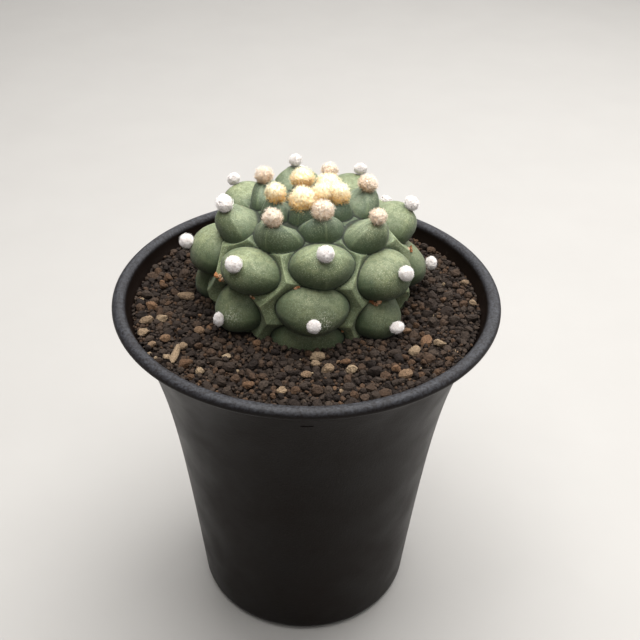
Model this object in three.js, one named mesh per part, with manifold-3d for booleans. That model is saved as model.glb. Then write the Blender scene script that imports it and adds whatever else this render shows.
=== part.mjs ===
// A round tubercled cactus growing in a deep, round plastic nursery pot filled with granular soil.
// Millimetres, +Z up. The pot stands on z = 0 with its axis on the Z axis.
// Azimuths are in degrees round the plant: 0 faces -Y, and +90 faces +X.
import * as THREE from 'three';
import * as BufferGeometryUtils from 'three/addons/utils/BufferGeometryUtils.js';
import Module from 'manifold-3d';

const wasm = await Module();
wasm.setup();

const GAP = 0.3; // clearance between pieces that touch

// Pot: a thin tapered wall that flares just under a solid rim bead, on a low foot ring.
const POT_SIDES = 48;
const RIM_RADIUS = 52.5;
const RIM_TOP = 104.2;
const RIM_WIDTH = 3.7;
const RIM_DEPTH = 3.0;
const WALL = 1.2;
const WALL_RADIUS_AT_BASE = 31.74; // the straight taper, carried down to z = 0
const TAPER = 0.0902; // radius gained per millimetre of height
const FLARE = 10.2; // radius that the bell adds at the rim
const FLARE_HEIGHT = 19.4; // height over which the bell fades by a factor of e
const FOOT_ROUNDING = 3.2;
const FOOT_WIDTH = 2.2;
const FLOOR_UNDERSIDE = 2.8;
const FLOOR_TOP = 4.6;
const DRAIN_HOLE_RADIUS = 3.2;
const DRAIN_HOLE_RING = 16;
const DRAIN_HOLES = 8;
const NOTCHES = 4;
const NOTCH_WIDTH = 9;
const NOTCH_HEIGHT = 1.2;

// Gravel, with a top of domed grains, and granular soil, whose coarse stones lie in rings.
const GRAVEL_TOP = 17;
const GRAVEL_GRAIN = 7;
const GRAVEL_RELIEF = 1.4;
const SOIL_TOP = 99.6;
const SOIL_RELIEF = 1.7; // how far the highest stone stands up
const SOIL_RINGS = 9; // rings of stones from the plant to the pot's wall
const SOIL_COLUMNS = 92; // each ring has as many, and one for its number from the plant

// Plant: a flattened core that carries a spiral of tubercles, each tipped with a tuft of wool.
const PLANT_X = 0.45;
const PLANT_Y = 7.45;
const CORE_RADIUS = 26.3;
const CORE_CROWN = 15.9; // height of the core above its widest circle
const CORE_EQUATOR = 109.9;
const CORE_SQUARENESS = 2.2; // exponent of the superellipse that the crown follows
const CORE_PINCH = 0.004; // how fast the core narrows below its widest circle
const SOIL_LINE = 100; // where the plant's skin goes into the soil
const BURIED_ARCS = [1.8, 3.8, 6]; // rings of the buried base, by arc below the soil line
const BURIED_DEPTH = 7.5; // arc below the soil line over which the tubercles fade out
const ROOT_RADII = [23.5, 17, 10.5, 6.5, 4.2, 2.4];
const ROOT_LEVELS = [90, 85.5, 81.5, 77, 68, 60];
const ROOT_TIP = 57;

// Spiral of tubercles, counted from the growing point outwards and down.
const DIVERGENCE = 135.83; // degrees between one tubercle and the next
const FRONT_TUBERCLE = 13;
const FRONT_AZIMUTH = 8.9;
const FIRST_ARC = 4.36; // arc from the apex to tubercle 0, along the core
const ARC_STEP = 1.38;
const YOUNGEST = -2;
const LAST_TUBERCLE = 32;
const LAST_WITH_WOOL = 26;
// Where a few tubercles stray from the spiral: degrees round the plant, millimetres down it.
const STRAY = { '-2': [169, 2.3], '-1': [8, 2.2], 0: [8, 1.3], 2: [9, 0], 12: [3, 2.4], 14: [-4, 1.1],
  15: [2, -0.8], 21: [0, 0.8], 24: [2, 0.9] };
const TUBERCLE_HALF_WIDTH = 9.9;
const TUBERCLE_HALF_LENGTH = 6.2;
const OLD_WIDTH_SHARE = 0.76; // the lowest ones have shrunk
const OLD_LENGTH_SHARE = 1.12; // and sagged
const CROWN_TUBERCLE_HEIGHT = 3.8;
const TUBERCLE_HEIGHT = 6.2;
const OLD_TUBERCLE_HEIGHT = 3.3;
const GROWN_ARC = 22; // arc from the apex at which a tubercle is full grown
const DOME_POWER = 2.6; // how blunt a tubercle is
const PLATE_RELIEF = 1.3; // the skin between the tubercles stands above the creases
const PLATE_SLOPE = 5; // and rises to a sharp fold half way between two of them
const WOOL_RADIUS = 3.5;
const WOOL_SHRINK = 0.07; // how much smaller each older tuft is
const WOOL_RISE = 1.3; // a tuft's centre above its tubercle's tip
const SKIN_SPACING = 1.65; // distance between neighbouring points of the skin

const radians = THREE.MathUtils.degToRad;
const smooth = (t) => THREE.MathUtils.smoothstep(t, 0, 1);

// A repeatable random draw between 0 and 1 for a pair of whole numbers.
function draw(i, j) {
  const wave = Math.sin(i * 127.1 + j * 311.7) * 43758.5453;
  return wave - Math.floor(wave);
}

function onCircle(radius, azimuth, z, cx = 0, cy = 0) {
  return new THREE.Vector3(cx + radius * Math.sin(azimuth), cy - radius * Math.cos(azimuth), z);
}

// A ring of points, each worked out from its azimuth and its number.
function ring(count, pointAt) {
  return Array.from({ length: count }, (_, k) => pointAt((2 * Math.PI * k) / count, k));
}

// A closed body skinned over a stack of rings, from one end point to the other.
// Neighbouring rings may differ in count: the side whose next point comes first is stepped along,
// and the fuller side where both come at once.
function skin(first, rings, last) {
  const positions = [];
  const triangles = [];
  const store = (point) => positions.push(point.x, point.y, point.z) / 3 - 1;
  const loops = [[first], ...rings, [last]].map((loop) => loop.map(store));
  for (let k = 1; k < loops.length; k += 1) {
    const upper = loops[k - 1];
    const lower = loops[k];
    const upperSteps = upper.length === 1 ? 0 : upper.length;
    const lowerSteps = lower.length === 1 ? 0 : lower.length;
    let u = 0;
    let v = 0;
    while (u < upperSteps || v < lowerSteps) {
      const a = upper[u % upper.length];
      const b = lower[v % lower.length];
      const lead = (v + 1) * upperSteps - (u + 1) * lowerSteps;
      if (v >= lowerSteps || (u < upperSteps && (lead > 0 || (lead === 0 && upperSteps > lowerSteps)))) {
        u += 1;
        triangles.push(a, b, upper[u % upper.length]);
      } else {
        v += 1;
        triangles.push(a, b, lower[v % lower.length]);
      }
    }
  }
  const geometry = new THREE.BufferGeometry();
  geometry.setAttribute('position', new THREE.Float32BufferAttribute(positions, 3));
  geometry.setIndex(triangles);
  geometry.computeVertexNormals();
  return geometry;
}

function solidOf(geometry) {
  const bare = geometry.clone();
  bare.deleteAttribute('normal');
  bare.deleteAttribute('uv');
  const merged = BufferGeometryUtils.mergeVertices(bare, 1e-4);
  return new wasm.Manifold(new wasm.Mesh({
    numProp: 3,
    vertProperties: new Float32Array(merged.attributes.position.array),
    triVerts: new Uint32Array(merged.index.array),
  }));
}

function geometryOf(solid) {
  const mesh = solid.getMesh();
  const geometry = new THREE.BufferGeometry();
  geometry.setAttribute('position', new THREE.Float32BufferAttribute(mesh.vertProperties, 3));
  geometry.setIndex(Array.from(mesh.triVerts));
  geometry.computeVertexNormals();
  return geometry;
}

// Height of the domed grains at a point: each cell of a square grid holds one grain, off centre.
function grains(x, y, cell, relief) {
  const column = Math.floor(x / cell);
  const row = Math.floor(y / cell);
  let nearest = Infinity;
  for (let i = column - 1; i <= column + 1; i += 1) {
    for (let j = row - 1; j <= row + 1; j += 1) {
      const gx = (i + 0.2 + 0.6 * draw(i, j)) * cell;
      const gy = (j + 0.2 + 0.6 * draw(j + 57, i)) * cell;
      nearest = Math.min(nearest, Math.hypot(x - gx, y - gy));
    }
  }
  return relief * Math.sqrt(Math.max(0, 1 - (nearest / (0.62 * cell)) ** 2));
}

// ---- Pot -------------------------------------------------------------------------------------

const potRadius = (z) => WALL_RADIUS_AT_BASE + TAPER * z + FLARE * Math.exp((z - RIM_TOP) / FLARE_HEIGHT);
const boreRadius = (z) => potRadius(z) - WALL;

function arcPoints(cx, cz, rx, rz, fromDegrees, toDegrees, steps) {
  return Array.from({ length: steps + 1 }, (_, k) => {
    const angle = radians(fromDegrees + ((toDegrees - fromDegrees) * k) / steps);
    return new THREE.Vector2(cx + rx * Math.cos(angle), cz + rz * Math.sin(angle));
  });
}

// Heights from one level up to another, closer together towards the flare at the top.
function wallHeights(from, to, steps) {
  return Array.from({ length: steps + 1 }, (_, k) => {
    const along = k / steps;
    return THREE.MathUtils.lerp(from, to, along * (2 - along));
  });
}

const wallPoints = (radiusAt, heights) => heights.map((z) => new THREE.Vector2(radiusAt(z), z));

function potGeometry() {
  const footOuter = potRadius(FOOT_ROUNDING) - FOOT_ROUNDING;
  const footInner = footOuter - FOOT_WIDTH;
  const beadFoot = RIM_TOP - RIM_DEPTH;
  const beadMiddle = RIM_RADIUS - RIM_WIDTH / 2;
  const profile = [
    new THREE.Vector2(0, FLOOR_UNDERSIDE),
    new THREE.Vector2(footInner - 1.2, FLOOR_UNDERSIDE),
    new THREE.Vector2(footInner, 0),
    ...arcPoints(footOuter, FOOT_ROUNDING, FOOT_ROUNDING, FOOT_ROUNDING, -90, 0, 3),
    ...wallPoints(potRadius, wallHeights(FOOT_ROUNDING + 10, beadFoot, 7)),
    ...arcPoints(beadMiddle, beadFoot + RIM_DEPTH / 2, RIM_WIDTH / 2, RIM_DEPTH / 2, -60, 180, 8),
    ...wallPoints(boreRadius, wallHeights(FLOOR_TOP + 3, beadFoot - 0.4, 7).reverse()),
    new THREE.Vector2(boreRadius(FLOOR_TOP) - 2.4, FLOOR_TOP),
    new THREE.Vector2(0, FLOOR_TOP),
  ];
  const shell = new THREE.LatheGeometry(profile, POT_SIDES).rotateX(Math.PI / 2);
  let pot = solidOf(shell);
  const hole = (radius, x, y) => solidOf(new THREE.CylinderGeometry(radius, radius, 8, 12)
    .rotateX(Math.PI / 2).translate(x, y, (FLOOR_UNDERSIDE + FLOOR_TOP) / 2));
  pot = pot.subtract(hole(DRAIN_HOLE_RADIUS, 0, 0));
  for (let k = 0; k < DRAIN_HOLES; k += 1) {
    const place = onCircle(DRAIN_HOLE_RING, (2 * Math.PI * k) / DRAIN_HOLES, 0);
    pot = pot.subtract(hole(DRAIN_HOLE_RADIUS, place.x, place.y));
  }
  for (let k = 0; k < NOTCHES; k += 1) {
    const azimuth = (2 * Math.PI * (k + 0.5)) / NOTCHES;
    const place = onCircle(footInner + FOOT_WIDTH / 2, azimuth, 0);
    pot = pot.subtract(solidOf(new THREE.BoxGeometry(NOTCH_WIDTH, 14, 2 * NOTCH_HEIGHT)
      .rotateZ(azimuth).translate(place.x, place.y, 0)));
  }
  return geometryOf(pot);
}

// ---- Gravel and soil -------------------------------------------------------------------------

const GRAVEL_RINGS = [6, 12, 18, 24, 30];
const gravelEdge = () => boreRadius(GRAVEL_TOP) - GAP;

// The rough surface between gravel and soil, from its middle out, at a height above the gravel.
function gravelSurface(rise) {
  return GRAVEL_RINGS.map((radius) => ring(radius * 1.5, (azimuth) => {
    const point = onCircle(radius, azimuth, GRAVEL_TOP + rise);
    point.z += grains(point.x, point.y, GRAVEL_GRAIN, GRAVEL_RELIEF);
    return point;
  }));
}

function circles(radiusAt, levels, count, cx = 0, cy = 0) {
  return levels.map((z, k) => ring(count, (azimuth) => onCircle(radiusAt(z, k), azimuth, z, cx, cy)));
}

function gravelGeometry() {
  const floor = FLOOR_TOP + GAP;
  const rings = [
    ...gravelSurface(0),
    ...circles((z) => boreRadius(z) - GAP, [GRAVEL_TOP, FLOOR_TOP + 3.4], POT_SIDES),
    ...circles(() => boreRadius(FLOOR_TOP) - 3, [floor], POT_SIDES),
    ...circles(() => 10, [floor], 16),
  ];
  const middle = new THREE.Vector3(0, 0, GRAVEL_TOP + GRAVEL_RELIEF / 2);
  return skin(middle, rings, new THREE.Vector3(0, 0, floor));
}

// The soil: from the bottom of the hole that the root fills, up the hole, which follows the plant's
// skin, across the stony top, down the pot's wall and back along the gravel.
function soilGeometry() {
  const top = [];
  for (let k = 1; k <= SOIL_RINGS; k += 1) {
    const clear = k === SOIL_RINGS ? 0 : Math.min(1, (k - 1) / 2); // flat beside the plant and the pot
    top.push(ring(SOIL_COLUMNS + k, (azimuth, column) => {
      const inner = skinPoint(SOIL_LINE_ARC, azimuth, GAP).setZ(SOIL_TOP);
      const outer = onCircle(boreRadius(SOIL_TOP) - GAP - 0.1, azimuth, SOIL_TOP);
      const point = inner.lerp(outer, k / SOIL_RINGS);
      point.z += clear * SOIL_RELIEF * draw(k, column) ** 1.5;
      return point;
    }));
  }
  const rings = [
    ...buriedRings(GAP + 0.05).reverse(),
    ...top,
    ...circles((z) => boreRadius(z) - GAP, wallHeights(GRAVEL_TOP + GAP + 0.1, 96, 6).reverse(), POT_SIDES),
    ...gravelSurface(GAP + 0.1).reverse(),
  ];
  const bottom = new THREE.Vector3(0, 0, GRAVEL_TOP + GRAVEL_RELIEF / 2 + GAP + 0.1);
  return skin(new THREE.Vector3(PLANT_X, PLANT_Y, ROOT_TIP - GAP - 0.05), rings, bottom);
}

// ---- Plant -----------------------------------------------------------------------------------

// The core's outline as a chain of points from the apex down to the soil, with the arc so far.
function coreOutline() {
  const chain = [];
  const steps = 240;
  for (let k = 0; k <= steps; k += 1) {
    const angle = (Math.PI / 2) * (k / steps);
    chain.push({
      radius: CORE_RADIUS * Math.sin(angle) ** (2 / CORE_SQUARENESS),
      z: CORE_EQUATOR + CORE_CROWN * Math.cos(angle) ** (2 / CORE_SQUARENESS),
    });
  }
  for (let drop = 0.25; drop <= CORE_EQUATOR - SOIL_LINE + 8; drop += 0.25) {
    chain.push({ radius: CORE_RADIUS - CORE_PINCH * drop ** 2, z: CORE_EQUATOR - drop });
  }
  chain[0].arc = 0;
  for (let k = 1; k < chain.length; k += 1) {
    const step = Math.hypot(chain[k].radius - chain[k - 1].radius, chain[k].z - chain[k - 1].z);
    chain[k].arc = chain[k - 1].arc + step;
  }
  return chain;
}

const OUTLINE = coreOutline();
const SOIL_LINE_ARC = OUTLINE.find((point) => point.z <= SOIL_LINE).arc;

function outlineAt(arc) {
  let k = 1;
  while (k < OUTLINE.length - 1 && OUTLINE[k].arc < arc) k += 1;
  const from = OUTLINE[k - 1];
  const to = OUTLINE[k];
  const along = (arc - from.arc) / (to.arc - from.arc);
  return {
    radius: THREE.MathUtils.lerp(from.radius, to.radius, along),
    z: THREE.MathUtils.lerp(from.z, to.z, along),
  };
}

// A point of the core with its outward normal, its downward direction and its sideways direction.
function coreFrame(arc, azimuth) {
  const here = outlineAt(arc);
  const before = outlineAt(Math.max(arc - 0.4, 0));
  const after = outlineAt(arc + 0.4);
  const slope = new THREE.Vector2(after.radius - before.radius, after.z - before.z).normalize();
  const outwards = onCircle(1, azimuth, 0);
  return {
    point: onCircle(here.radius, azimuth, here.z, PLANT_X, PLANT_Y),
    normal: outwards.clone().multiplyScalar(-slope.y).setZ(slope.x),
    down: outwards.clone().multiplyScalar(slope.x).setZ(slope.y),
    sideways: new THREE.Vector3(Math.cos(azimuth), Math.sin(azimuth), 0),
    radius: here.radius,
  };
}

function tubercle(index) {
  const [turn, drop] = STRAY[index] ?? [0, 0];
  const arc = FIRST_ARC + ARC_STEP * index + drop;
  const azimuth = radians(FRONT_AZIMUTH - DIVERGENCE * (index - FRONT_TUBERCLE) + turn);
  const frame = coreFrame(arc, azimuth);
  const growth = (frame.radius / CORE_RADIUS) ** 0.5;
  const shrunk = THREE.MathUtils.lerp(1, OLD_WIDTH_SHARE, smooth((index - 21) / 3));
  const sagged = THREE.MathUtils.lerp(1, OLD_LENGTH_SHARE, smooth((index - 16) / 4));
  const halfWidth = TUBERCLE_HALF_WIDTH * growth * shrunk;
  const grown = THREE.MathUtils.lerp(CROWN_TUBERCLE_HEIGHT, TUBERCLE_HEIGHT, smooth(arc / GROWN_ARC));
  return {
    ...frame,
    halfWidth,
    halfLength: Math.min(TUBERCLE_HALF_LENGTH * growth ** 0.35 * sagged, halfWidth + 0.5),
    height: THREE.MathUtils.lerp(grown, OLD_TUBERCLE_HEIGHT, smooth((index - LAST_WITH_WOOL) / 4)),
    woolRadius: WOOL_RADIUS - WOOL_SHRINK * index,
  };
}

const TUBERCLES = [];
for (let index = YOUNGEST; index <= LAST_TUBERCLE; index += 1) TUBERCLES.push(tubercle(index));

// How far the skin stands off the core: a dome over each tubercle's elliptical foot, a crease round
// each foot, and between the rows a plate that rises from the creases to a fold half way.
function relief(point, arc) {
  let nearest = Infinity;
  let dome = 0;
  for (const seed of TUBERCLES) {
    const offset = point.clone().sub(seed.point);
    const distance = Math.hypot(
      offset.dot(seed.sideways) / seed.halfWidth,
      offset.dot(seed.down) / seed.halfLength,
      offset.dot(seed.normal) / 14,
    );
    dome = Math.max(dome, seed.height * (1 - distance ** DOME_POWER));
    nearest = Math.min(nearest, distance);
  }
  const plate = smooth((nearest - 1) / 0.25) * smooth((arc - 13) / 8)
    * (PLATE_RELIEF + PLATE_SLOPE * THREE.MathUtils.clamp(nearest - 1, 0, 0.5));
  return (dome + plate) * (1 - smooth((arc - SOIL_LINE_ARC) / BURIED_DEPTH));
}

function skinPoint(arc, azimuth, offset = 0) {
  const frame = coreFrame(arc, azimuth);
  return frame.point.addScaledVector(frame.normal, relief(frame.point, arc) + offset);
}

// The plant below the soil line, or with an offset the wall of the hole that it stands in.
function buriedRings(offset) {
  const base = [0, ...BURIED_ARCS].map((depth, k) => ring(100 - 8 * k, (azimuth) => (
    skinPoint(SOIL_LINE_ARC + depth, azimuth, offset))));
  const root = ROOT_LEVELS.map((z, k) => ring(52 - 6 * k, (azimuth) => (
    onCircle(ROOT_RADII[k] + offset, azimuth, z, PLANT_X, PLANT_Y))));
  return [...base, ...root];
}

function plantGeometry() {
  const ringCount = Math.round(SOIL_LINE_ARC / SKIN_SPACING);
  const rings = [];
  for (let k = 1; k < ringCount; k += 1) {
    const arc = (SOIL_LINE_ARC * k) / ringCount;
    const around = 2 * Math.PI * (outlineAt(arc).radius + 3);
    rings.push(ring(Math.round(around / (SKIN_SPACING * 1.08)), (azimuth) => skinPoint(arc, azimuth)));
  }
  rings.push(...buriedRings(0));
  const apex = coreFrame(0, 0).point;
  apex.z += relief(apex, 0);
  let plant = solidOf(skin(apex, rings, new THREE.Vector3(PLANT_X, PLANT_Y, ROOT_TIP)));
  const woolly = TUBERCLES.slice(0, LAST_WITH_WOOL - YOUNGEST + 1);
  for (const [k, seed] of woolly.entries()) {
    const centre = seed.point.clone().addScaledVector(seed.normal, seed.height + WOOL_RISE);
    plant = plant.add(solidOf(woolGeometry(seed.woolRadius, k).translate(centre.x, centre.y, centre.z)));
  }
  return geometryOf(plant);
}

// One lumpy ball of wool.
function woolGeometry(radius, index) {
  const bare = new THREE.IcosahedronGeometry(radius, 1);
  bare.deleteAttribute('normal');
  bare.deleteAttribute('uv');
  const ball = BufferGeometryUtils.mergeVertices(bare, 1e-3);
  const position = ball.attributes.position;
  for (let k = 0; k < position.count; k += 1) {
    const lump = 0.94 + 0.1 * draw(index, k);
    position.setXYZ(k, position.getX(k) * lump, position.getY(k) * lump, position.getZ(k) * lump);
  }
  return ball;
}

// ---- Assembly --------------------------------------------------------------------------------

function piece(name, geometry, color, roughness) {
  const mesh = new THREE.Mesh(geometry, new THREE.MeshStandardMaterial({ color, roughness, metalness: 0 }));
  mesh.name = name;
  return mesh;
}

const pottedCactus = new THREE.Group();
pottedCactus.add(
  piece('pot', potGeometry(), '#211e1d', 0.42),
  piece('drainage_gravel', gravelGeometry(), '#8d8578', 0.95),
  piece('soil', soilGeometry(), '#3a2c24', 0.97),
  piece('cactus', plantGeometry(), '#6b8160', 0.6),
);

export default pottedCactus;
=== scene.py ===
"""A round tubercled cactus growing in a tall, flared plastic nursery pot filled with granular soil.

Lengths in the constants and functions below are in millimetres, and a mesh is turned to metres when
it is made. Azimuths go round the plant: 0 faces -Y, and +90 degrees faces +X.
"""
import math

import bpy
import numpy as np
from mathutils import Matrix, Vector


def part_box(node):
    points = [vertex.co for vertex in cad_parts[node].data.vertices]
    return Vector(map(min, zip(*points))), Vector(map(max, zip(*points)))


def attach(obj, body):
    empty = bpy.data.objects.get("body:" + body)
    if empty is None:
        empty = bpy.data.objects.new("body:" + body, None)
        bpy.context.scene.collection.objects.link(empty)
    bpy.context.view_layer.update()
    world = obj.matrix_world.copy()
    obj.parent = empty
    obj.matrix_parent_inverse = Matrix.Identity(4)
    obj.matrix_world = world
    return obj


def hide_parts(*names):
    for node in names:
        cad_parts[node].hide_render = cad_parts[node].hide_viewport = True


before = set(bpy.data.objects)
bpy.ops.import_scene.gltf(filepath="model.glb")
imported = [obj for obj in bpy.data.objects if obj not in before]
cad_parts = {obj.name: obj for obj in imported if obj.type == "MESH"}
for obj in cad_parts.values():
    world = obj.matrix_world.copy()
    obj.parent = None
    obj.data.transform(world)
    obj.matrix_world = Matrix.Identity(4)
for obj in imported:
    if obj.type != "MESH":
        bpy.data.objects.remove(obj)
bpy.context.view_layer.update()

bl_info = {
    "name": "Potted round cactus",
    "version": (1, 0, 0),
    "blender": (4, 5, 0),
    "location": "View3D > Sidebar > Cactus",
    "description": "Builds a round tubercled cactus in a nursery pot, piece by piece",
    "category": "Object",
}

MM = 0.001
TURN = 2.0 * math.pi
BODY = "root"

# Places of the colour sockets on Blender's Mix node, whose sockets share their names.
MIX_FACTOR, MIX_A, MIX_B, MIX_RESULT = 0, 6, 7, 2

# ---- Sizes that the solids share ---------------------------------------------------------------

# Pot: a straight taper with a bell near the rim, under a solid bead.
WALL_RADIUS_AT_BASE = 31.74
TAPER = 0.0902
FLARE = 10.2
FLARE_HEIGHT = 19.4
RIM_WIDTH = 3.7
RIM_DEPTH = 3.0
WALL_THICKNESS = 1.2
FOOT_ROUNDING = 3.2
FOOT_WIDTH = 2.2
FLOOR_UNDERSIDE = 2.8
FLOOR_TOP = 4.6
DRAIN_HOLE_RADIUS = 3.2
DRAIN_HOLE_RING = 16.0
DRAIN_HOLES = 8
NOTCHES = 4
NOTCH_WIDTH = 9.0
NOTCH_HEIGHT = 1.2

GRAVEL_TOP = 17.0

# Soil: its coarse stones lie in rings from the plant to the wall.
GAP = 0.3
SOIL_INSET = WALL_THICKNESS + GAP
STONE_INSET = 1.6
SOIL_TOP = 99.6
SOIL_RELIEF = 1.7
SOIL_RINGS = 9
SOIL_COLUMNS = 92

# Plant: a flattened core that carries a spiral of tubercles.
PLANT_X = 0.45
PLANT_Y = 7.45
CORE_RADIUS = 26.3
CORE_CROWN = 15.9
CORE_EQUATOR = 109.9
CORE_SQUARENESS = 2.2
CORE_PINCH = 0.004
SOIL_LINE = 100.0
BURIED_DEPTH = 7.5
ROOT_RADII = (23.5, 17.0, 10.5, 6.5, 4.2, 2.4)
ROOT_LEVELS = (90.0, 85.5, 81.5, 77.0, 68.0, 60.0)
ROOT_TIP = 57.0
DIVERGENCE = math.radians(135.83)
FRONT_TUBERCLE = 13
FRONT_AZIMUTH = math.radians(8.9)
FIRST_ARC = 4.36
ARC_STEP = 1.38
YOUNGEST = -2
LAST_TUBERCLE = 32
LAST_WITH_WOOL = 26
# Where a few tubercles stray from the spiral: degrees round the plant, millimetres down it.
# The last of them strays in the look alone.
STRAY = {-2: (169, 2.3), -1: (8, 2.2), 0: (8, 1.3), 2: (9, 0), 12: (3, 2.4), 14: (-4, 1.1),
         15: (2, -0.8), 21: (0, 0.8), 24: (2, 0.9), 29: (4, 0)}
TUBERCLE_HALF_WIDTH = 9.9
TUBERCLE_HALF_LENGTH = 6.2
SHRINKING_FROM, SHRUNK_AFTER = 21, 3
OLD_WIDTH_SHARE = 0.76
SAGGING_FROM, SAGGED_AFTER = 16, 4
OLD_LENGTH_SHARE = 1.12
CROWN_TUBERCLE_HEIGHT = 3.8
TUBERCLE_HEIGHT = 6.2
OLD_TUBERCLE_HEIGHT = 3.3
GROWN_ARC = 22.0
WOOL_RADIUS = 3.5
WOOL_SHRINK = 0.07

# ---- Sizes of the look alone -------------------------------------------------------------------

# Pot: the line between the halves of its mould, and the first ring of the floor's two sides.
PARTING_LEVEL = 100.1
PARTING_WIDTH = 0.16
FLOOR_HUB = 4.0

# Soil: how far its packed surface lies below the solid's, and its foot, just above the gravel's top.
PACKED_DEPTH = 0.6
SOIL_FOOT = GRAVEL_TOP + 1.6

# Tubercles: the front one is longer, and the half-buried ones without wool are broad again.
FRONT_LENGTH_SHARE = 1.13
BURIED_BREADTH = 1.2
# A tubercle's field fades over this depth, and its top sinks below the wool by the chin's share of
# its length.
FIELD_DEPTH = 14.0
CHIN = 0.28
KEEL_WIDTH = 0.08
PLATE_RELIEF = 0.9
PLATE_SLOPE = 6.0
PLATES_FROM_ARC, PLATES_RISE_OVER = 14.5, 8.0
# A crease, and how steeply two domes, or a dome and a plate, part beside it.
CREASE_DEPTH = 0.45
CREASE_WIDTH = 0.34
DOME_PARTING = 3.2
PLATE_PARTING = 2.2

# Wool: tufts stand this far above their tubercles and stay under a ceiling, which they near softly.
WOOL_RISE = 1.3
WOOL_CEILING = 134.4
CEILING_SOFTNESS = 0.9
# Sizes of the tufts as shares of the usual one for their age, and stretches sideways and down.
WOOL_SIZES = {-2: 0.80, -1: 0.82, 0: 0.98, 1: 0.88, 2: 0.86, 3: 0.86, 4: 0.72, 5: 0.84, 6: 0.74,
              7: 0.80, 8: 0.86, 9: 0.62, 10: 0.80, 11: 0.84, 12: 0.70, 13: 0.85, 14: 0.68, 15: 0.86,
              16: 0.88, 21: 0.86, 24: 0.84}
USUAL_WOOL = 0.93
WOOL_STRETCH = {0: (1.05, 1.0), 3: (1.0, 0.95), 11: (1.3, 0.95), 24: (0.84, 1.3), 26: (1.25, 0.85)}
WOOL_FLATNESS = 0.92
# Rows and columns of the mesh of a tuft's matted core, and of a hair.
CORE_MESH = (28, 40)
HAIR_MESH = (3, 3)

_, POT_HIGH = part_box("pot")
RIM_TOP = POT_HIGH.z / MM


# ---- Numbers and meshes ------------------------------------------------------------------------

def linear(colour):
    """An sRGB hex colour as linear red, green, blue and alpha. A colour that has them stays."""
    if not isinstance(colour, str):
        return tuple(colour)
    parts = np.array([int(colour[k:k + 2], 16) for k in (1, 3, 5)]) / 255.0
    parts = np.where(parts <= 0.04045, parts / 12.92, ((parts + 0.055) / 1.055) ** 2.4)
    return (*parts.tolist(), 1.0)


def smooth(t):
    """The smooth step from 0 to 1."""
    t = np.clip(t, 0.0, 1.0)
    return t * t * (3.0 - 2.0 * t)


def lerp(a, b, t):
    """The value a share t of the way from a to b."""
    return a + (b - a) * t


def on_circle(radius, azimuth, z, cx=0.0, cy=0.0):
    """Points at a radius and azimuth round a vertical axis: x = cx + r sin(a), y = cy - r cos(a)."""
    radius, azimuth, z = np.broadcast_arrays(radius, azimuth, z)
    return np.stack([cx + radius * np.sin(azimuth), cy - radius * np.cos(azimuth), z], axis=-1)


def unit(vectors):
    """Vectors of length 1 in the same directions."""
    return vectors / np.maximum(np.linalg.norm(vectors, axis=-1, keepdims=True), 1e-9)


def draw(i, j):
    """A repeatable random draw between 0 and 1 for a pair of whole numbers."""
    wave = np.sin(i * 127.1 + j * 311.7) * 43758.5453
    return wave - np.floor(wave)


def ripple(points, scale, seed):
    """Soft lumps, mostly between -1 and 1: a sum of sine waves in directions drawn from the seed."""
    rng = np.random.default_rng(seed)
    waves = 6
    total = np.zeros(points.shape[:-1])
    for _ in range(waves):
        wave = unit(rng.normal(size=3)) * TURN / scale * rng.uniform(0.6, 1.7)
        total += np.sin(points @ wave + rng.uniform(0, TURN))
    return total / waves ** 0.5 / 1.6


def loft_faces(rows, columns):
    """Quads of a stack of rings, and the triangles that close it at a first and a last point."""
    k = np.arange(columns)
    after = (k + 1) % columns
    start = 1 + columns * np.arange(rows)[:, None]
    upper, lower = start[:-1], start[1:]
    quads = np.stack([upper + k, lower + k, lower + after, upper + after], axis=-1).reshape(-1, 4)
    end = 1 + rows * columns
    first = np.stack([np.zeros_like(k), 1 + k, 1 + after], axis=-1)
    last = np.stack([np.full_like(k, end), start[-1] + after, start[-1] + k], axis=-1)
    return quads, np.concatenate([first, last])


def loft_points(first, rings, last):
    """One array of points from a first point, rings of shape (rows, columns, 3) and a last point."""
    return np.concatenate([np.reshape(first, (1, 3)), rings.reshape(-1, 3), np.reshape(last, (1, 3))])


def unit_ball(rows, columns):
    """A loft of points on the unit ball: x = sin(t) cos(p), y = sin(t) sin(p), z = cos(t)."""
    theta = np.linspace(0, math.pi, rows + 2)[1:-1, None]
    phi = np.linspace(0, TURN, columns + 1)[None, :-1]
    ball = np.stack([np.sin(theta) * np.cos(phi), np.sin(theta) * np.sin(phi),
                     np.cos(theta) * np.ones_like(phi)], axis=-1)
    return loft_points((0, 0, 1), ball, (0, 0, -1))


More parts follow.
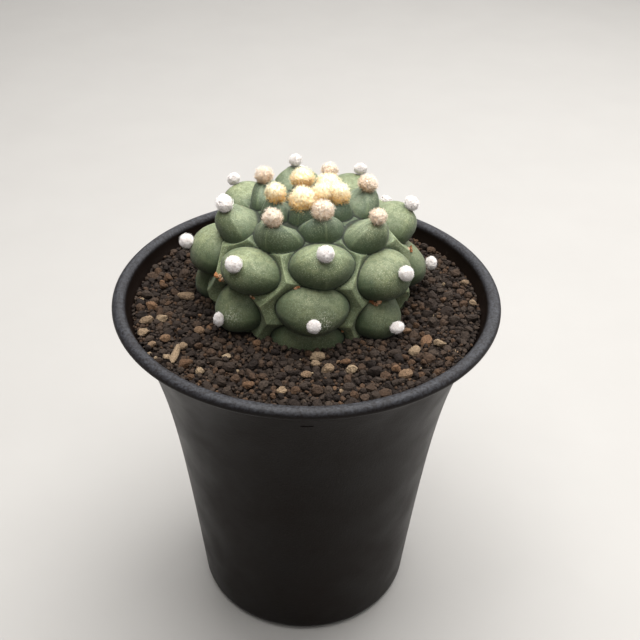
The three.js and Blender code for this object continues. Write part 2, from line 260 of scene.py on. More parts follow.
def make_piece(name, copies, rows, columns, slot, material, replaces=(), shade_smooth=True,
               **attributes):
    """A mesh object of closed lofts: copies has the shape (count, 2 + rows * columns, 3).

    The faces are turned outwards by the sign of the volume that the first copy encloses. The
    attributes are values at the points, which the material reads by name.
    """
    copies = np.asarray(copies, dtype=float)
    count, points = copies.shape[:2]
    quads, triangles = loft_faces(rows, columns)
    sides = np.concatenate([quads[:, [0, 1, 2]], quads[:, [0, 2, 3]], triangles])
    a, b, c = (copies[0][sides[:, k]] - copies[0].mean(axis=0) for k in range(3))
    if np.einsum("ij,ij->i", a, np.cross(b, c)).sum() < 0:
        quads, triangles = quads[:, ::-1], triangles[:, ::-1]
    shift = points * np.arange(count)[:, None, None]
    quads = (quads[None] + shift).reshape(-1, 4)
    triangles = (triangles[None] + shift).reshape(-1, 3)
    sizes = np.concatenate([np.full(len(quads), 4), np.full(len(triangles), 3)])
    mesh = bpy.data.meshes.new(name)
    mesh.vertices.add(count * points)
    mesh.vertices.foreach_set("co", (copies * MM).ravel())
    mesh.loops.add(int(sizes.sum()))
    mesh.loops.foreach_set("vertex_index", np.concatenate([quads.ravel(), triangles.ravel()]))
    mesh.polygons.add(len(sizes))
    mesh.polygons.foreach_set("loop_start", np.cumsum(sizes) - sizes)
    mesh.update(calc_edges=True)
    mesh.polygons.foreach_set("use_smooth", np.full(len(sizes), shade_smooth))
    for key, values in attributes.items():
        layer = mesh.attributes.new(key, "FLOAT", "POINT")
        layer.data.foreach_set("value", np.ravel(values).astype(np.float32))
    mesh.validate()
    piece = bpy.data.objects.new(name, mesh)
    bpy.context.scene.collection.objects.link(piece)
    finish_piece(piece, material, replaces)
    return piece


def finish_piece(piece, material, replaces=()):
    """Give a piece its material and the body that it rides on."""
    piece.data.materials.clear()
    piece.data.materials.append(material)
    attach(piece, BODY)
    if replaces:
        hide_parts(*replaces)


def add(tree, kind, links=None, stops=None, **settings):
    """Add a node with its settings; links gives each input a value, or the output that feeds it."""
    made = tree.nodes.new(kind)
    for key, value in settings.items():
        setattr(made, key, value)
    for k, (place, colour) in enumerate(stops or ()):
        elements = made.color_ramp.elements
        element = elements[k] if k < 2 else elements.new(place)
        element.position = place
        element.color = linear(colour)
    for socket, value in (links or {}).items():
        if isinstance(value, bpy.types.NodeSocket):
            tree.links.new(value, made.inputs[socket])
        else:
            made.inputs[socket].default_value = value
    return made


def new_material(name, lumps=None, attributes=(), **shader_values):
    """A material with a Principled shader, and its fields: outputs, by name, that it can follow.

    Each noise in lumps has the size of its lumps in millimetres, its detail and its roughness. The
    attributes are those of the mesh. The values are the shader's own, with _ for a space.
    """
    material = bpy.data.materials.new(name)
    material.use_nodes = True
    tree = material.node_tree
    shader = tree.nodes["Principled BSDF"]
    for key, value in shader_values.items():
        shader.inputs[key.replace("_", " ")].default_value = value
    place = add(tree, "ShaderNodeTexCoord").outputs["Object"]
    fields = {"place": place}
    for key, (size_mm, detail, roughness) in (lumps or {}).items():
        fields[key] = add(tree, "ShaderNodeTexNoise", {
            "Vector": place, "Scale": 1.0 / (size_mm * MM), "Detail": detail,
            "Roughness": roughness}).outputs["Fac"]
    for key in attributes:
        fields[key] = add(tree, "ShaderNodeAttribute", attribute_name=key).outputs["Fac"]
    return material, tree, shader, fields


def product(tree, fields, *factors):
    """The product of some factors: fields by name, numbers and steps.

    A step is a field's name, the field where the step starts and ends, and the step's values there.
    It is smooth, or straight where it ends with the word LINEAR.
    """
    total = None
    for factor in factors:
        value = fields.get(factor, factor)
        if isinstance(factor, tuple):
            source, start, end, low, high = factor[:5]
            kind = "LINEAR" if factor[5:] else "SMOOTHSTEP"
            value = add(tree, "ShaderNodeMapRange", {
                "Value": fields[source], "From Min": start, "From Max": end, "To Min": low,
                "To Max": high}, interpolation_type=kind).outputs["Result"]
        total = value if total is None else add(
            tree, "ShaderNodeMath", {0: total, 1: value}, operation="MULTIPLY").outputs[0]
    return total


def coated(tree, fields, colour, coats):
    """A colour under coats: each has its own colour, and the factors of how much of it shows."""
    for over, *factors in coats:
        colour = add(tree, "ShaderNodeMix", {
            MIX_FACTOR: product(tree, fields, *factors), MIX_A: colour,
            MIX_B: linear(over)}, data_type="RGBA").outputs[MIX_RESULT]
    return colour


def wire(tree, shader, colour, bumps, roughness=None):
    """Link a colour, bumps and maybe a roughness to the shader.

    A bump is an output to follow, a strength and a depth in millimetres, and lies on the one before.
    """
    normal = {}
    for height, strength, depth_mm in bumps:
        bump = add(tree, "ShaderNodeBump", {
            "Height": height, "Strength": strength, "Distance": depth_mm * MM, **normal})
        normal = {"Normal": bump.outputs["Normal"]}
    tree.links.new(colour, shader.inputs["Base Color"])
    tree.links.new(normal["Normal"], shader.inputs["Normal"])
    if roughness is not None:
        tree.links.new(roughness, shader.inputs["Roughness"])


# ---- Pot ---------------------------------------------------------------------------------------

def pot_radius(z):
    """Outer radius of the wall: a straight taper and an exponential bell that fades below the rim."""
    return WALL_RADIUS_AT_BASE + TAPER * z + FLARE * np.exp((z - RIM_TOP) / FLARE_HEIGHT)


def rounded(corners, radius, steps=5):
    """A polyline whose inner corners are cut by quadratic curves.

    A curve starts and ends at the radius from its corner, or nearer where a side is short.
    """
    corners = np.asarray(corners, dtype=float)
    points = [corners[:1]]
    t = np.linspace(0, 1, steps)[:, None]
    for before, corner, after in zip(corners[:-2], corners[1:-1], corners[2:]):
        sides = np.linalg.norm([before - corner, after - corner], axis=-1)
        reach = min(radius, *(0.45 * sides))
        start = corner + reach * unit(before - corner)
        end = corner + reach * unit(after - corner)
        points.append((1 - t) ** 2 * start + 2 * t * (1 - t) * corner + t ** 2 * end)
    points.append(corners[-1:])
    return np.concatenate(points)


def pot_profile(rim_radius, wall, parting_height):
    """Radius and height round the pot's wall, from the middle of its underside to that of its floor."""
    foot_outer = float(pot_radius(FOOT_ROUNDING)) - FOOT_ROUNDING
    foot_inner = foot_outer - FOOT_WIDTH
    bead_foot = RIM_TOP - RIM_DEPTH
    underside = rounded([(FLOOR_HUB, FLOOR_UNDERSIDE), (foot_inner - 1.2, FLOOR_UNDERSIDE),
                         (foot_inner, 0.0), (foot_outer, 0.0)], 0.35)
    corner = np.radians(np.linspace(-78, 0, 8))
    foot = np.stack([foot_outer + FOOT_ROUNDING * np.cos(corner),
                     FOOT_ROUNDING + FOOT_ROUNDING * np.sin(corner)], axis=-1)
    # The levels lie closer together from just under the parting line up.
    levels = np.concatenate([np.linspace(5.0, 99.0, 64), np.linspace(99.3, bead_foot, 20)])
    parting = parting_height * np.exp(-((levels - PARTING_LEVEL) / PARTING_WIDTH) ** 2)
    outside = np.stack([pot_radius(levels) + parting, levels], axis=-1)
    angle = np.radians(np.linspace(-60, 180, 30))
    bead = np.stack([rim_radius - RIM_WIDTH / 2 + RIM_WIDTH / 2 * np.cos(angle),
                     bead_foot + RIM_DEPTH / 2 + RIM_DEPTH / 2 * np.sin(angle)], axis=-1)
    levels = np.concatenate([np.linspace(bead_foot - 0.4, 92.0, 16), np.linspace(90.0, 7.6, 40)])
    inside = np.stack([pot_radius(levels) - wall, levels], axis=-1)
    inner_floor = float(pot_radius(FLOOR_TOP)) - wall - 2.4
    floor = np.array([(inner_floor + 0.8, FLOOR_TOP + 0.8), (inner_floor, FLOOR_TOP),
                      (FLOOR_HUB, FLOOR_TOP)])
    return np.concatenate([underside[:-1], foot, outside, bead, inside, floor])


def cut_away(piece, cutters):
    """Cut the cutters from a piece by Booleans, apply them and remove the cutters."""
    for cutter in cutters:
        modifier = piece.modifiers.new("Cut", "BOOLEAN")
        modifier.operation = "DIFFERENCE"
        modifier.solver = "EXACT"
        modifier.object = cutter
    bpy.context.view_layer.update()
    ready = piece.evaluated_get(bpy.context.evaluated_depsgraph_get())
    mesh = bpy.data.meshes.new_from_object(ready)
    piece.modifiers.clear()
    piece.data = mesh
    for cutter in cutters:
        bpy.data.objects.remove(cutter)


def cutter_loft(name, outline, low, high):
    """A plain closed prism over an outline of x and y points, as a tool for a Boolean."""
    outline = np.asarray(outline, dtype=float)
    rings = np.stack([np.column_stack([outline, np.full(len(outline), z)]) for z in (low, high)])
    centre = outline.mean(axis=0)
    quads, triangles = loft_faces(2, len(outline))
    points = loft_points((*centre, low), rings, (*centre, high))
    faces = [*quads[:, ::-1].tolist(), *triangles[:, ::-1].tolist()]
    mesh = bpy.data.meshes.new(name)
    mesh.from_pydata((points * MM).tolist(), [], faces)
    tool = bpy.data.objects.new(name, mesh)
    bpy.context.scene.collection.objects.link(tool)
    return tool


def pot_cutters():
    """Prisms for the drain holes in the floor and for the notches in the foot ring."""
    around = np.linspace(0, TURN, 33)[:-1]
    circle = DRAIN_HOLE_RADIUS * np.stack([np.cos(around), np.sin(around)], axis=-1)
    centres = [(0.0, 0.0)]
    for k in range(DRAIN_HOLES):
        angle = TURN * k / DRAIN_HOLES
        centres.append((DRAIN_HOLE_RING * math.sin(angle), -DRAIN_HOLE_RING * math.cos(angle)))
    # Each prism reaches past what it cuts on both sides.
    below, above, through = 0.5, 8.0, 7.0
    tools = [cutter_loft(f"hole_{k}", circle + centre, below, above) for k, centre in enumerate(centres)]
    foot = float(pot_radius(FOOT_ROUNDING)) - FOOT_ROUNDING - FOOT_WIDTH / 2
    half = NOTCH_WIDTH / 2
    for k in range(NOTCHES):
        angle = TURN * (k + 0.5) / NOTCHES
        out = np.array([math.sin(angle), -math.cos(angle)])
        side = np.array([math.cos(angle), math.sin(angle)])
        corners = [(foot + u) * out + v * side for u, v in
                   ((-through, -half), (through, -half), (through, half), (-through, half))]
        tools.append(cutter_loft(f"notch_{k}", corners, -1.0, NOTCH_HEIGHT))
    return tools


def polypropylene(colour):
    """Black polypropylene, injection moulded in a blasted mould: satin, with a fine even grain.

    The grain breaks highlights up into specks; handling has polished broad patches, the top of the bead
    carries a painted blue-grey sheen in fine specks, and potting has left a trace of pale dust in the
    grain. The real grain is about 0.15 mm, and is drawn coarser to show in the render.
    """
    material, tree, shader, fields = new_material(
        "black_polypropylene_satin_grain",
        {"patches": (14.0, 4.0, 0.55), "grain": (0.55, 2.0, 0.55), "dust": (1.6, 5.0, 0.7),
         "scratches": (0.7, 4.0, 0.75)}, IOR=1.49, Specular_IOR_Level=0.12)
    fields["height"] = add(tree, "ShaderNodeSeparateXYZ", {"Vector": fields["place"]}).outputs["Z"]
    final = coated(tree, fields, tuple(colour), (
        ("#140b06", "patches"),
        ("#6f675f", ("dust", 0.60, 0.80, 0.0, 0.06, "LINEAR")),
        # Painted sheen: the top of the bead is painted blue-grey in fine specks.
        ("#4b4d52", ("scratches", 0.38, 0.66, 0.1, 0.62, "LINEAR"),
         ("height", (RIM_TOP - 1.7) * MM, (RIM_TOP - 0.1) * MM, 0.0, 1.0))))
    roughness = product(tree, fields, ("patches", 0.3, 0.7, 0.34, 0.50, "LINEAR"))
    wire(tree, shader, final, [(fields["grain"], 0.35, 0.12)], roughness)
    return material


def drainage_stone():
    """River gravel, tumbled smooth but dull: mixed grey and brown pebbles under a film of silt."""
    pebble_mm = 5.0
    material, tree, shader, fields = new_material("tumbled_grey_gravel", Roughness=0.92)
    pebbles = add(tree, "ShaderNodeTexVoronoi", {"Vector": fields["place"],
                                                 "Scale": 1.0 / (pebble_mm * MM)})
    tones = add(tree, "ShaderNodeValToRGB", {"Fac": pebbles.outputs["Color"]},
                stops=((0.1, "#5d564c"), (0.5, "#8a7f70"), (0.9, "#a39a8a")))
    sunk = add(tree, "ShaderNodeMath", {0: 1.0, 1: pebbles.outputs["Distance"]}, operation="SUBTRACT")
    wire(tree, shader, tones.outputs["Color"], [(sunk.outputs[0], 0.8, 0.8)])
    return material


# ---- Plant shape -------------------------------------------------------------------------------

def core_outline():
    """Radius, height and arc of the core's outline from the apex down.

    The crown is a superellipse; below the widest circle the radius shrinks with the square of the drop.
    """
    angle = np.linspace(0, math.pi / 2, 241)
    power = 2.0 / CORE_SQUARENESS
    step, below_soil = 0.25, 8.0
    drop = np.arange(step, CORE_EQUATOR - SOIL_LINE + below_soil + step, step)
    radius = np.concatenate([CORE_RADIUS * np.sin(angle) ** power, CORE_RADIUS - CORE_PINCH * drop ** 2])
    height = np.concatenate([CORE_EQUATOR + CORE_CROWN * np.maximum(np.cos(angle), 0) ** power,
                             CORE_EQUATOR - drop])
    arc = np.concatenate([[0.0], np.cumsum(np.hypot(np.diff(radius), np.diff(height)))])
    return radius, height, arc


OUTLINE_RADIUS, OUTLINE_HEIGHT, OUTLINE_ARC = core_outline()
SOIL_LINE_ARC = float(OUTLINE_ARC[np.argmax(OUTLINE_HEIGHT <= SOIL_LINE)])


def core_frame(arc, azimuth):
    """Points of the core with their outward normals, downward and sideways directions and radius."""
    arc, azimuth = np.broadcast_arrays(np.asarray(arc, dtype=float), azimuth)
    radius = np.interp(arc, OUTLINE_ARC, OUTLINE_RADIUS)
    height = np.interp(arc, OUTLINE_ARC, OUTLINE_HEIGHT)
    # The slope is taken over a short stretch on both sides.
    low, high = np.maximum(arc - 0.4, 0.0), arc + 0.4
    run = np.interp(high, OUTLINE_ARC, OUTLINE_RADIUS) - np.interp(low, OUTLINE_ARC, OUTLINE_RADIUS)
    rise = np.interp(high, OUTLINE_ARC, OUTLINE_HEIGHT) - np.interp(low, OUTLINE_ARC, OUTLINE_HEIGHT)
    length = np.hypot(run, rise)
    run, rise = run / length, rise / length
    outwards = on_circle(1.0, azimuth, 0.0)
    up = np.array([0.0, 0.0, 1.0])
    return {
        "point": on_circle(radius, azimuth, height, PLANT_X, PLANT_Y),
        "normal": outwards * -rise[..., None] + up * run[..., None],
        "down": outwards * run[..., None] + up * rise[..., None],
        "sideways": np.stack([np.cos(azimuth), np.sin(azimuth), np.zeros_like(azimuth)], axis=-1),
        "radius": radius,
    }


def tubercle_spiral():
    """Places, frames and sizes of all tubercles, in step along the spiral from the growing point."""
    index = np.arange(YOUNGEST, LAST_TUBERCLE + 1)
    turn = np.radians([STRAY.get(int(i), (0, 0))[0] for i in index])
    drop = np.array([STRAY.get(int(i), (0, 0))[1] for i in index])
    arc = FIRST_ARC + ARC_STEP * index + drop
    azimuth = FRONT_AZIMUTH - DIVERGENCE * (index - FRONT_TUBERCLE) + turn
    spiral = core_frame(arc, azimuth)
    growth = (spiral["radius"] / CORE_RADIUS) ** 0.5
    past_wool = index - LAST_WITH_WOOL
    shrinking = smooth((index - SHRINKING_FROM) / SHRUNK_AFTER) - BURIED_BREADTH * smooth(past_wool / 2)
    sagging = smooth((index - SAGGING_FROM) / SAGGED_AFTER)
    length_share = lerp(1.0, OLD_LENGTH_SHARE, sagging)
    length_share[index == FRONT_TUBERCLE] *= FRONT_LENGTH_SHARE
    half_width = TUBERCLE_HALF_WIDTH * growth * lerp(1.0, OLD_WIDTH_SHARE, shrinking)
    half_length = TUBERCLE_HALF_LENGTH * growth ** 0.35 * length_share
    grown = lerp(CROWN_TUBERCLE_HEIGHT, TUBERCLE_HEIGHT, smooth(arc / GROWN_ARC))
    spiral.update(
        index=index, arc=arc, azimuth=azimuth, half_width=half_width,
        half_length=np.minimum(half_length, half_width + 0.5),
        height=lerp(grown, OLD_TUBERCLE_HEIGHT, smooth(past_wool / 4)),
        wool_radius=WOOL_RADIUS - WOOL_SHRINK * index,
        # Young tubercles are pointed and keeled, where old ones are smooth cushions. Half-grown
        # ones have the most angular outlines.
        keel=lerp(0.6, 0.06, smooth((index - 5) / 14)),
        bluntness=lerp(1.7, 2.6, smooth((index - 1) / 14)),
        angular=lerp(0.15, 0.3, smooth((index - 5) / 3)) * (1 - 0.5 * smooth((index - 10) / 4)),
    )
    return spiral


SPIRAL = tubercle_spiral()


def relief(point, arc):
    """How far the skin stands off the core, with the fields that its colour follows.

    Over each tubercle's foot it is a dome, height * (1 - d ** bluntness), where d is 1 on the foot's
    outline and is enlarged away from the keels, which run sideways and down from the tip. The dome's
    top lies a little below the wool, like a chin. Between the rows the skin is a plate that rises
    with the distance to the nearest foot, up to a sharp fold along the line of equal distance to two
    feet. Where two domes, or a dome and a plate, come to the same height, a crease is pressed in.
    """
    shape = (len(SPIRAL["index"]), *arc.shape)
    distances, domes, keels, slopes = (np.empty(shape) for _ in range(4))
    for k in range(shape[0]):
        offset = point - SPIRAL["point"][k]
        across = offset @ SPIRAL["sideways"][k] / SPIRAL["half_width"][k]
        along = offset @ SPIRAL["down"][k] / SPIRAL["half_length"][k]
        flat = np.hypot(across, along) + 1e-6
        sine, cosine = np.abs(along) / flat, np.abs(across) / flat
        off_keel = np.where(along > 0, 2 * sine * cosine, sine)
        pointed = (np.abs(across) ** 1.5 + np.abs(along) ** 1.5) ** (1 / 1.5)
        flat = lerp(flat, pointed, SPIRAL["angular"][k])
        distances[k] = np.hypot(flat, offset @ SPIRAL["normal"][k] / FIELD_DEPTH)
        inwards = np.clip(1 - distances[k], 0, 1)
        sunk = along - CHIN * np.clip(1 - flat ** 2, 0, 1)
        steep = np.sqrt(distances[k] ** 2 - along ** 2 + sunk ** 2)
        steep = steep * (1 + SPIRAL["keel"][k] * off_keel * inwards)
        domes[k] = SPIRAL["height"][k] * (1 - steep ** SPIRAL["bluntness"][k])
        keels[k] = (0.25 + SPIRAL["keel"][k]) * np.exp(-(off_keel / KEEL_WIDTH) ** 2)
        keels[k] *= smooth(inwards / 0.2) * smooth(distances[k] / 0.4)
        slopes[k] = np.clip(along, -1, 1)
    nearest, second = np.partition(distances, 1, axis=0)[:2]
    order = np.argsort(-domes, axis=0)[:2]
    dome, lower_dome = np.take_along_axis(domes, order, axis=0)
    raised = PLATE_RELIEF + PLATE_SLOPE * np.clip(nearest - 1, -0.1, 0.5)
    plate = smooth((arc - PLATES_FROM_ARC) / PLATES_RISE_OVER) * raised
    seam = np.minimum(np.where(dome > plate, (dome - lower_dome) / DOME_PARTING, 9.0),
                      np.abs(dome - plate) / PLATE_PARTING)
    on_plate = smooth((plate - dome) / 0.3)
    fade = 1 - smooth((arc - SOIL_LINE_ARC) / BURIED_DEPTH)
    height = np.maximum(dome, plate) - CREASE_DEPTH * np.exp(-(seam / CREASE_WIDTH) ** 2)
    fields = {
        "seam": np.minimum(seam, 3.0),
        "fold": np.minimum(second - nearest, 1.0) + 1 - on_plate,
        "plate": on_plate,
        "keel": np.take_along_axis(keels, order[:1], axis=0)[0] * (1 - on_plate),
        "slope": np.take_along_axis(slopes, order[:1], axis=0)[0] * (1 - on_plate),
        "shoulder": np.minimum(nearest, 1.0),
        "owner": order[0],
    }
    return height * fade, fields


def skin_points(arc, azimuth, offset=0.0):
    """Points of the skin at an arc from the apex and an azimuth, and the fields of its relief.

    A point is the core's point plus its normal times the relief and the offset.
    """
    core = core_frame(arc, azimuth)
    height, fields = relief(core["point"], np.broadcast_to(arc, core["radius"].shape))
    return core["point"] + core["normal"] * (height + offset)[..., None], fields


def root_rings(columns, offset):
    """Rings of the root below the skin, widened by an offset."""
    azimuth = np.linspace(0, TURN, columns + 1)[:-1]
    return np.stack([on_circle(r + offset, azimuth, z, PLANT_X, PLANT_Y)
                     for r, z in zip(ROOT_RADII, ROOT_LEVELS)])


def cactus_epidermis(settings):
    """Cactus skin, grown: thick matte cuticle, grey-green, with a dusting of wax and fine pale specks.

    It carries painted shade, deep green, in the creases, on the flanks and lower sides of the tubercles,
    over the lower rows and on the sheltered plates, and a painted highlight on the upper part of each
    tubercle. It is greyer and bluer where it is young, yellower where the light has stretched it, and the
    folds between the rows are rubbed pale. The real pores and grains of wax are about 0.1 mm, and are
    drawn coarser to show in the render.
    """
    material, tree, shader, fields = new_material(
        "waxy_cactus_epidermis",
        {"clouds": (7.0, 4.0, 0.55), "mottle": (1.3, 4.0, 0.65), "grain": (0.42, 2.0, 0.55),
         "scratches": (0.5, 4.0, 0.7)},
        ("seam", "fold", "plate", "keel", "shoulder", "slope", "age", "tone", "mark"),
        IOR=1.42, Roughness=0.6, Specular_IOR_Level=0.35, Sheen_Weight=0.05, Sheen_Roughness=0.6,
        Subsurface_Weight=0.03, Subsurface_Scale=0.0015)
    for key, size_mm in (("dots", 0.42), ("wax", 0.32)):
        fields[key] = add(tree, "ShaderNodeTexVoronoi", {
            "Vector": fields["place"], "Scale": 1.0 / (size_mm * MM)}).outputs["Distance"]
    colour = coated(tree, fields, tuple(settings.deep_colour), (
        (settings.light_colour, ("clouds", 0.3, 0.7, 0.0, 1.0)),
        # Some tubercles are yellower and young ones bluer; each carries a painted highlight above and
        # painted shade below.
        ("#858f66", ("tone", 0.0, 1.0, 0.0, 0.3)),
        ("#64746a", ("age", 0.15, 0.55, 0.75, 0.0)),
        ("#9da37b", ("slope", -1.0, 0.1, 0.5, 0.0)),
        ("#35412a", ("slope", -0.4, 0.8, 0.0, 0.5)),
        ("#76815f", "plate", 0.4),
        # Dark mottles, pale dots and a dusting of wax.
        ("#37442e", ("mottle", 0.40, 0.62, 0.0, 0.42)),
        ("#a9b194", ("dots", 0.16, 0.30, 1.0, 0.0), ("clouds", 0.35, 0.6, 0.25, 0.8)),
        ("#97a084", ("wax", 0.16, 0.36, 0.75, 0.0), ("slope", -0.8, 0.8, 1.0, 0.6)),
        # Painted shade: the lower rows, the flanks and the sheltered plates are darker.
        ("#333d28", ("age", 0.52, 0.85, 0.0, 0.5), ("slope", -1.0, -0.3, 0.2, 1.0),
         ("plate", 0.0, 1.0, 1.0, 0.2)),
        ("#35432b", ("shoulder", 0.4, 0.95, 0.0, 1.0), ("slope", -1.0, -0.1, 0.1, 0.75),
         ("plate", 0.0, 1.0, 1.0, 0.0)),
        ("#3b4730", "plate", ("age", 0.35, 0.65, 0.6, 0.0)),
        # Folds and keels are rubbed pale.
        ("#a3ad84", ("fold", 0.0, 0.045, 0.7, 0.0), ("clouds", 0.38, 0.62, 0.2, 1.0),
         ("age", 0.3, 0.6, 0.15, 1.0)),
        ("#a3ad82", "keel", 0.22),
        # Painted shade in the creases, with a dark painted line along the bottom.
        ("#2a3622", ("seam", 0.0, 0.9, 0.4, 0.0)),
        ("#141b10", ("seam", 0.04, 0.24, 0.9, 0.0)),
        ("#d3d6c4", "mark", ("scratches", 0.52, 0.60, 0.0, 1.0))))
    wire(tree, shader, colour, [(fields["grain"], 0.5, 0.06), (fields["mottle"], 0.4, 0.16)],
         product(tree, fields, ("mottle", 0.3, 0.7, 0.5, 0.72)))
    return material


# ---- Wool --------------------------------------------------------------------------------------

def even_directions(count, seed):
    """Unit vectors spread evenly over a ball by the golden angle, then shaken a little."""
    k = np.arange(count) + 0.5
    height = 1 - 2 * k / count
    angle = k * math.pi * (3 - math.sqrt(5))
    ring = np.sqrt(1 - height ** 2)
    rng = np.random.default_rng(seed)
    vectors = np.stack([ring * np.cos(angle), ring * np.sin(angle), height], axis=-1)
    return unit(vectors + rng.normal(scale=0.6 / math.sqrt(count), size=vectors.shape))


def clumps(directions, seed, count, width):
    """Lumps between 0 and 1 over a ball: exp(-(angle to the nearest of the centres / width) ** 2)."""
    centres = even_directions(count, seed)
    nearest = np.arccos(np.clip(directions @ centres.T, -1, 1)).min(axis=-1)
    return np.exp(-(nearest / width) ** 2)


def tuft_frame(k, rise=WOOL_RISE):
    """Centre, outward normal, sideways and downward directions of a tubercle's tuft of wool."""
    normal = SPIRAL["normal"][k]
    centre = SPIRAL["point"][k] + normal * (SPIRAL["height"][k] + rise)
    return centre, normal, SPIRAL["sideways"][k], SPIRAL["down"][k]


def swell(directions, seed):
    """A tuft's own shape: its radius over a ball as a share of its size, with a few broad lumps."""
    return 0.82 + 0.15 * clumps(directions, seed, 9, 0.5)


def under_ceiling(points):
    """Points with those near the plant's top pressed down, so that they near the ceiling softly."""
    start = WOOL_CEILING - CEILING_SOFTNESS
    over = np.maximum(points[..., 2] - start, 0.0) / CEILING_SOFTNESS
    points[..., 2] = np.minimum(points[..., 2], start) + CEILING_SOFTNESS * (1 - np.exp(-over))
    return points


def wool_cores(tufts):
    """Matted balls: broad lumps under fine curls, which also give the wool's tone, with painted shade in
    the crevices between them.

    Along each direction the radius is the tuft's size times its own shape plus a share of its curls.
    """
    points = unit_ball(*CORE_MESH)
    balls = []
    levels = []
    for tuft in tufts:
        centre, normal, sideways, down = tuft_frame(tuft["k"], tuft["rise"])
        curls = clumps(points, tuft["seed"] + 1, 110, 0.14)
        size = tuft["radius"] * (swell(points, tuft["seed"]) - 0.06 + 0.15 * curls)
        local = points * size[:, None] * tuft["stretch"]
        balls.append(centre + local @ np.stack([sideways, down, normal]))
        # Painted shade: where the tone follows the curls, it is darker in the crevices between them.
        levels.append(lerp(points[:, 2] * 0.5 + 0.5, curls, tuft["curl"]))
    return under_ceiling(np.array(balls)), np.array(levels)


def wool_hairs(tufts):
    """Thin tapering hairs that leave a tuft's ball and curl along it.

    A hair's middle line turns about an axis across its root's direction by bend * t and climbs as
    t ** 0.8, and its section is a small triangle that shrinks to a point. A real hair is about a
    third as thick, too fine to show in the render.
    """
    t = np.linspace(0, 1, HAIR_MESH[0])
    around = np.linspace(0, TURN, HAIR_MESH[1] + 1)[:-1]
    hairs = []
    levels = []
    for tuft in tufts:
        rng = np.random.default_rng(tuft["seed"] + 500)
        centre, normal, sideways, down = tuft_frame(tuft["k"], tuft["rise"])
        root = even_directions(tuft["hairs"], tuft["seed"] + 900)
        root = root[root[:, 2] > -0.75]
        count = len(root)
        axis = unit(np.cross(root, rng.normal(size=(count, 3))))
        bend = tuft["bend"] * rng.uniform(0.5, 1.3, size=count)
        angle = bend[:, None] * t
        path = (root[:, None] * np.cos(angle)[..., None]
                + np.cross(axis, root)[:, None] * np.sin(angle)[..., None])
        body_reach = swell(root, tuft["seed"])[:, None]
        loose = rng.uniform(0.0, 1.0, size=(count, 1)) ** 1.5
        reach = tuft["radius"] * (body_reach - 0.02 + (0.08 + tuft["fuzz"] * loose) * t ** 0.8)
        line = path * reach[..., None] * tuft["stretch"]
        forward = unit(np.gradient(line, axis=1))
        side = unit(np.cross(forward, path))
        lift = np.cross(side, forward)
        width = tuft["thickness"] * (1 - 0.75 * t)[None, :, None, None]
        ring = (side[:, :, None] * np.cos(around)[:, None] + lift[:, :, None] * np.sin(around)[:, None])
        body = line[:, :, None] + width * ring
        tip = line[:, -1:] + forward[:, -1:] * tuft["thickness"]
        points = np.concatenate([line[:, :1], body.reshape(count, -1, 3), tip], axis=1)
        hairs.append(centre + points @ np.stack([sideways, down, normal]))
        own = rng.uniform(0.1, 1.1, size=(count, 1)) + 0.0 * points[..., 2]
        height = np.clip(points[..., 2] / tuft["radius"], -1, 1) * 0.5 + 0.5
        levels.append(lerp(height, own, tuft["curl"]))
    return under_ceiling(np.concatenate(hairs)), np.concatenate(levels)


def tuft_list(settings, chosen, hairs_share, bend, fuzz, curl, rise):
    """The tufts of the chosen tubercles, by spiral index, with their sizes and their look.

    The bend is the angle that a hair turns through, the fuzz how far loose hairs stand out as a share of
    the tuft, and the curl how far the tone follows single curls, darker in the painted shade between them,
    rather than the height in the tuft.
    """
    tufts = []
    for index in chosen:
        k = index - YOUNGEST
        rng = np.random.default_rng(700 + k)
        wide, long = WOOL_STRETCH.get(index, (1.0, 1.0))
        tufts.append({
            "k": k, "radius": float(SPIRAL["wool_radius"][k]) * WOOL_SIZES.get(index, USUAL_WOOL),
            "seed": 40 + 7 * k, "hairs": int(settings.hairs_per_tuft * hairs_share),
            "thickness": settings.hair_thickness / MM, "bend": bend, "fuzz": fuzz, "curl": curl,
            "rise": rise,
            "stretch": np.array([wide, long, WOOL_FLATNESS]) * rng.uniform(0.93, 1.07, size=3)})
    return tufts


def plant_wool(name, root_colour, tip_colour, span):
    """Plant wool, grown: fine crimped hairs of pure cellulose, matted like cotton.

    It is dull and soft, and light passes a little way in. The hairs' feet are darker than their
    tips: the span holds the levels where the one tone starts to turn and the other is reached.
    """
    material, tree, shader, fields = new_material(
        name, {"strands": (0.45, 3.0, 0.6)}, ("level",), IOR=1.45, Roughness=0.95,
        Specular_IOR_Level=0.15, Sheen_Weight=0.9, Sheen_Roughness=0.5, Subsurface_Weight=0.08,
        Subsurface_Scale=0.001, Subsurface_Radius=(1.0, 0.92, 0.8))
    shift = add(tree, "ShaderNodeMath", {0: fields["strands"], 1: -0.5}, operation="ADD")
    level = add(tree, "ShaderNodeMath", {0: shift.outputs[0], 1: 0.7, 2: fields["level"]},
                operation="MULTIPLY_ADD")
    tones = add(tree, "ShaderNodeValToRGB", {"Fac": level.outputs[0]},
                stops=((span[0], root_colour), (span[1], tip_colour)))
    wire(tree, shader, tones.outputs["Color"], [(fields["strands"], 0.5, 0.15)])
    return material


# ---- Soil --------------------------------------------------------------------------------------

# Gritty matter by name: its tones from dark to pale, and the size of its pits in millimetres.
GRIT = {
    # Baked clay and lava, crushed: nearly black, with a few reddish brown lumps.
    "crushed_dark_clay": (((0.0, "#241d19"), (0.3, "#322923"), (0.6, "#3f352d"), (0.85, "#46362a"),
                           (1.0, "#503c2c")), 0.5),
    # Pumice, broken and sieved: brown to pale tan, with finer pits.
    "pale_pumice_chips": (((0.0, "#56402f"), (0.3, "#715640"), (0.5, "#7a6651"), (1.0, "#a38e73")), 0.4),
    # Stubs of old flower stalks, dried to a pale reddish cork.
    "dried_scar_tissue": (((0.0, "#96623f"), (0.5, "#bd8459"), (1.0, "#ecc8a6")), 0.3),
}


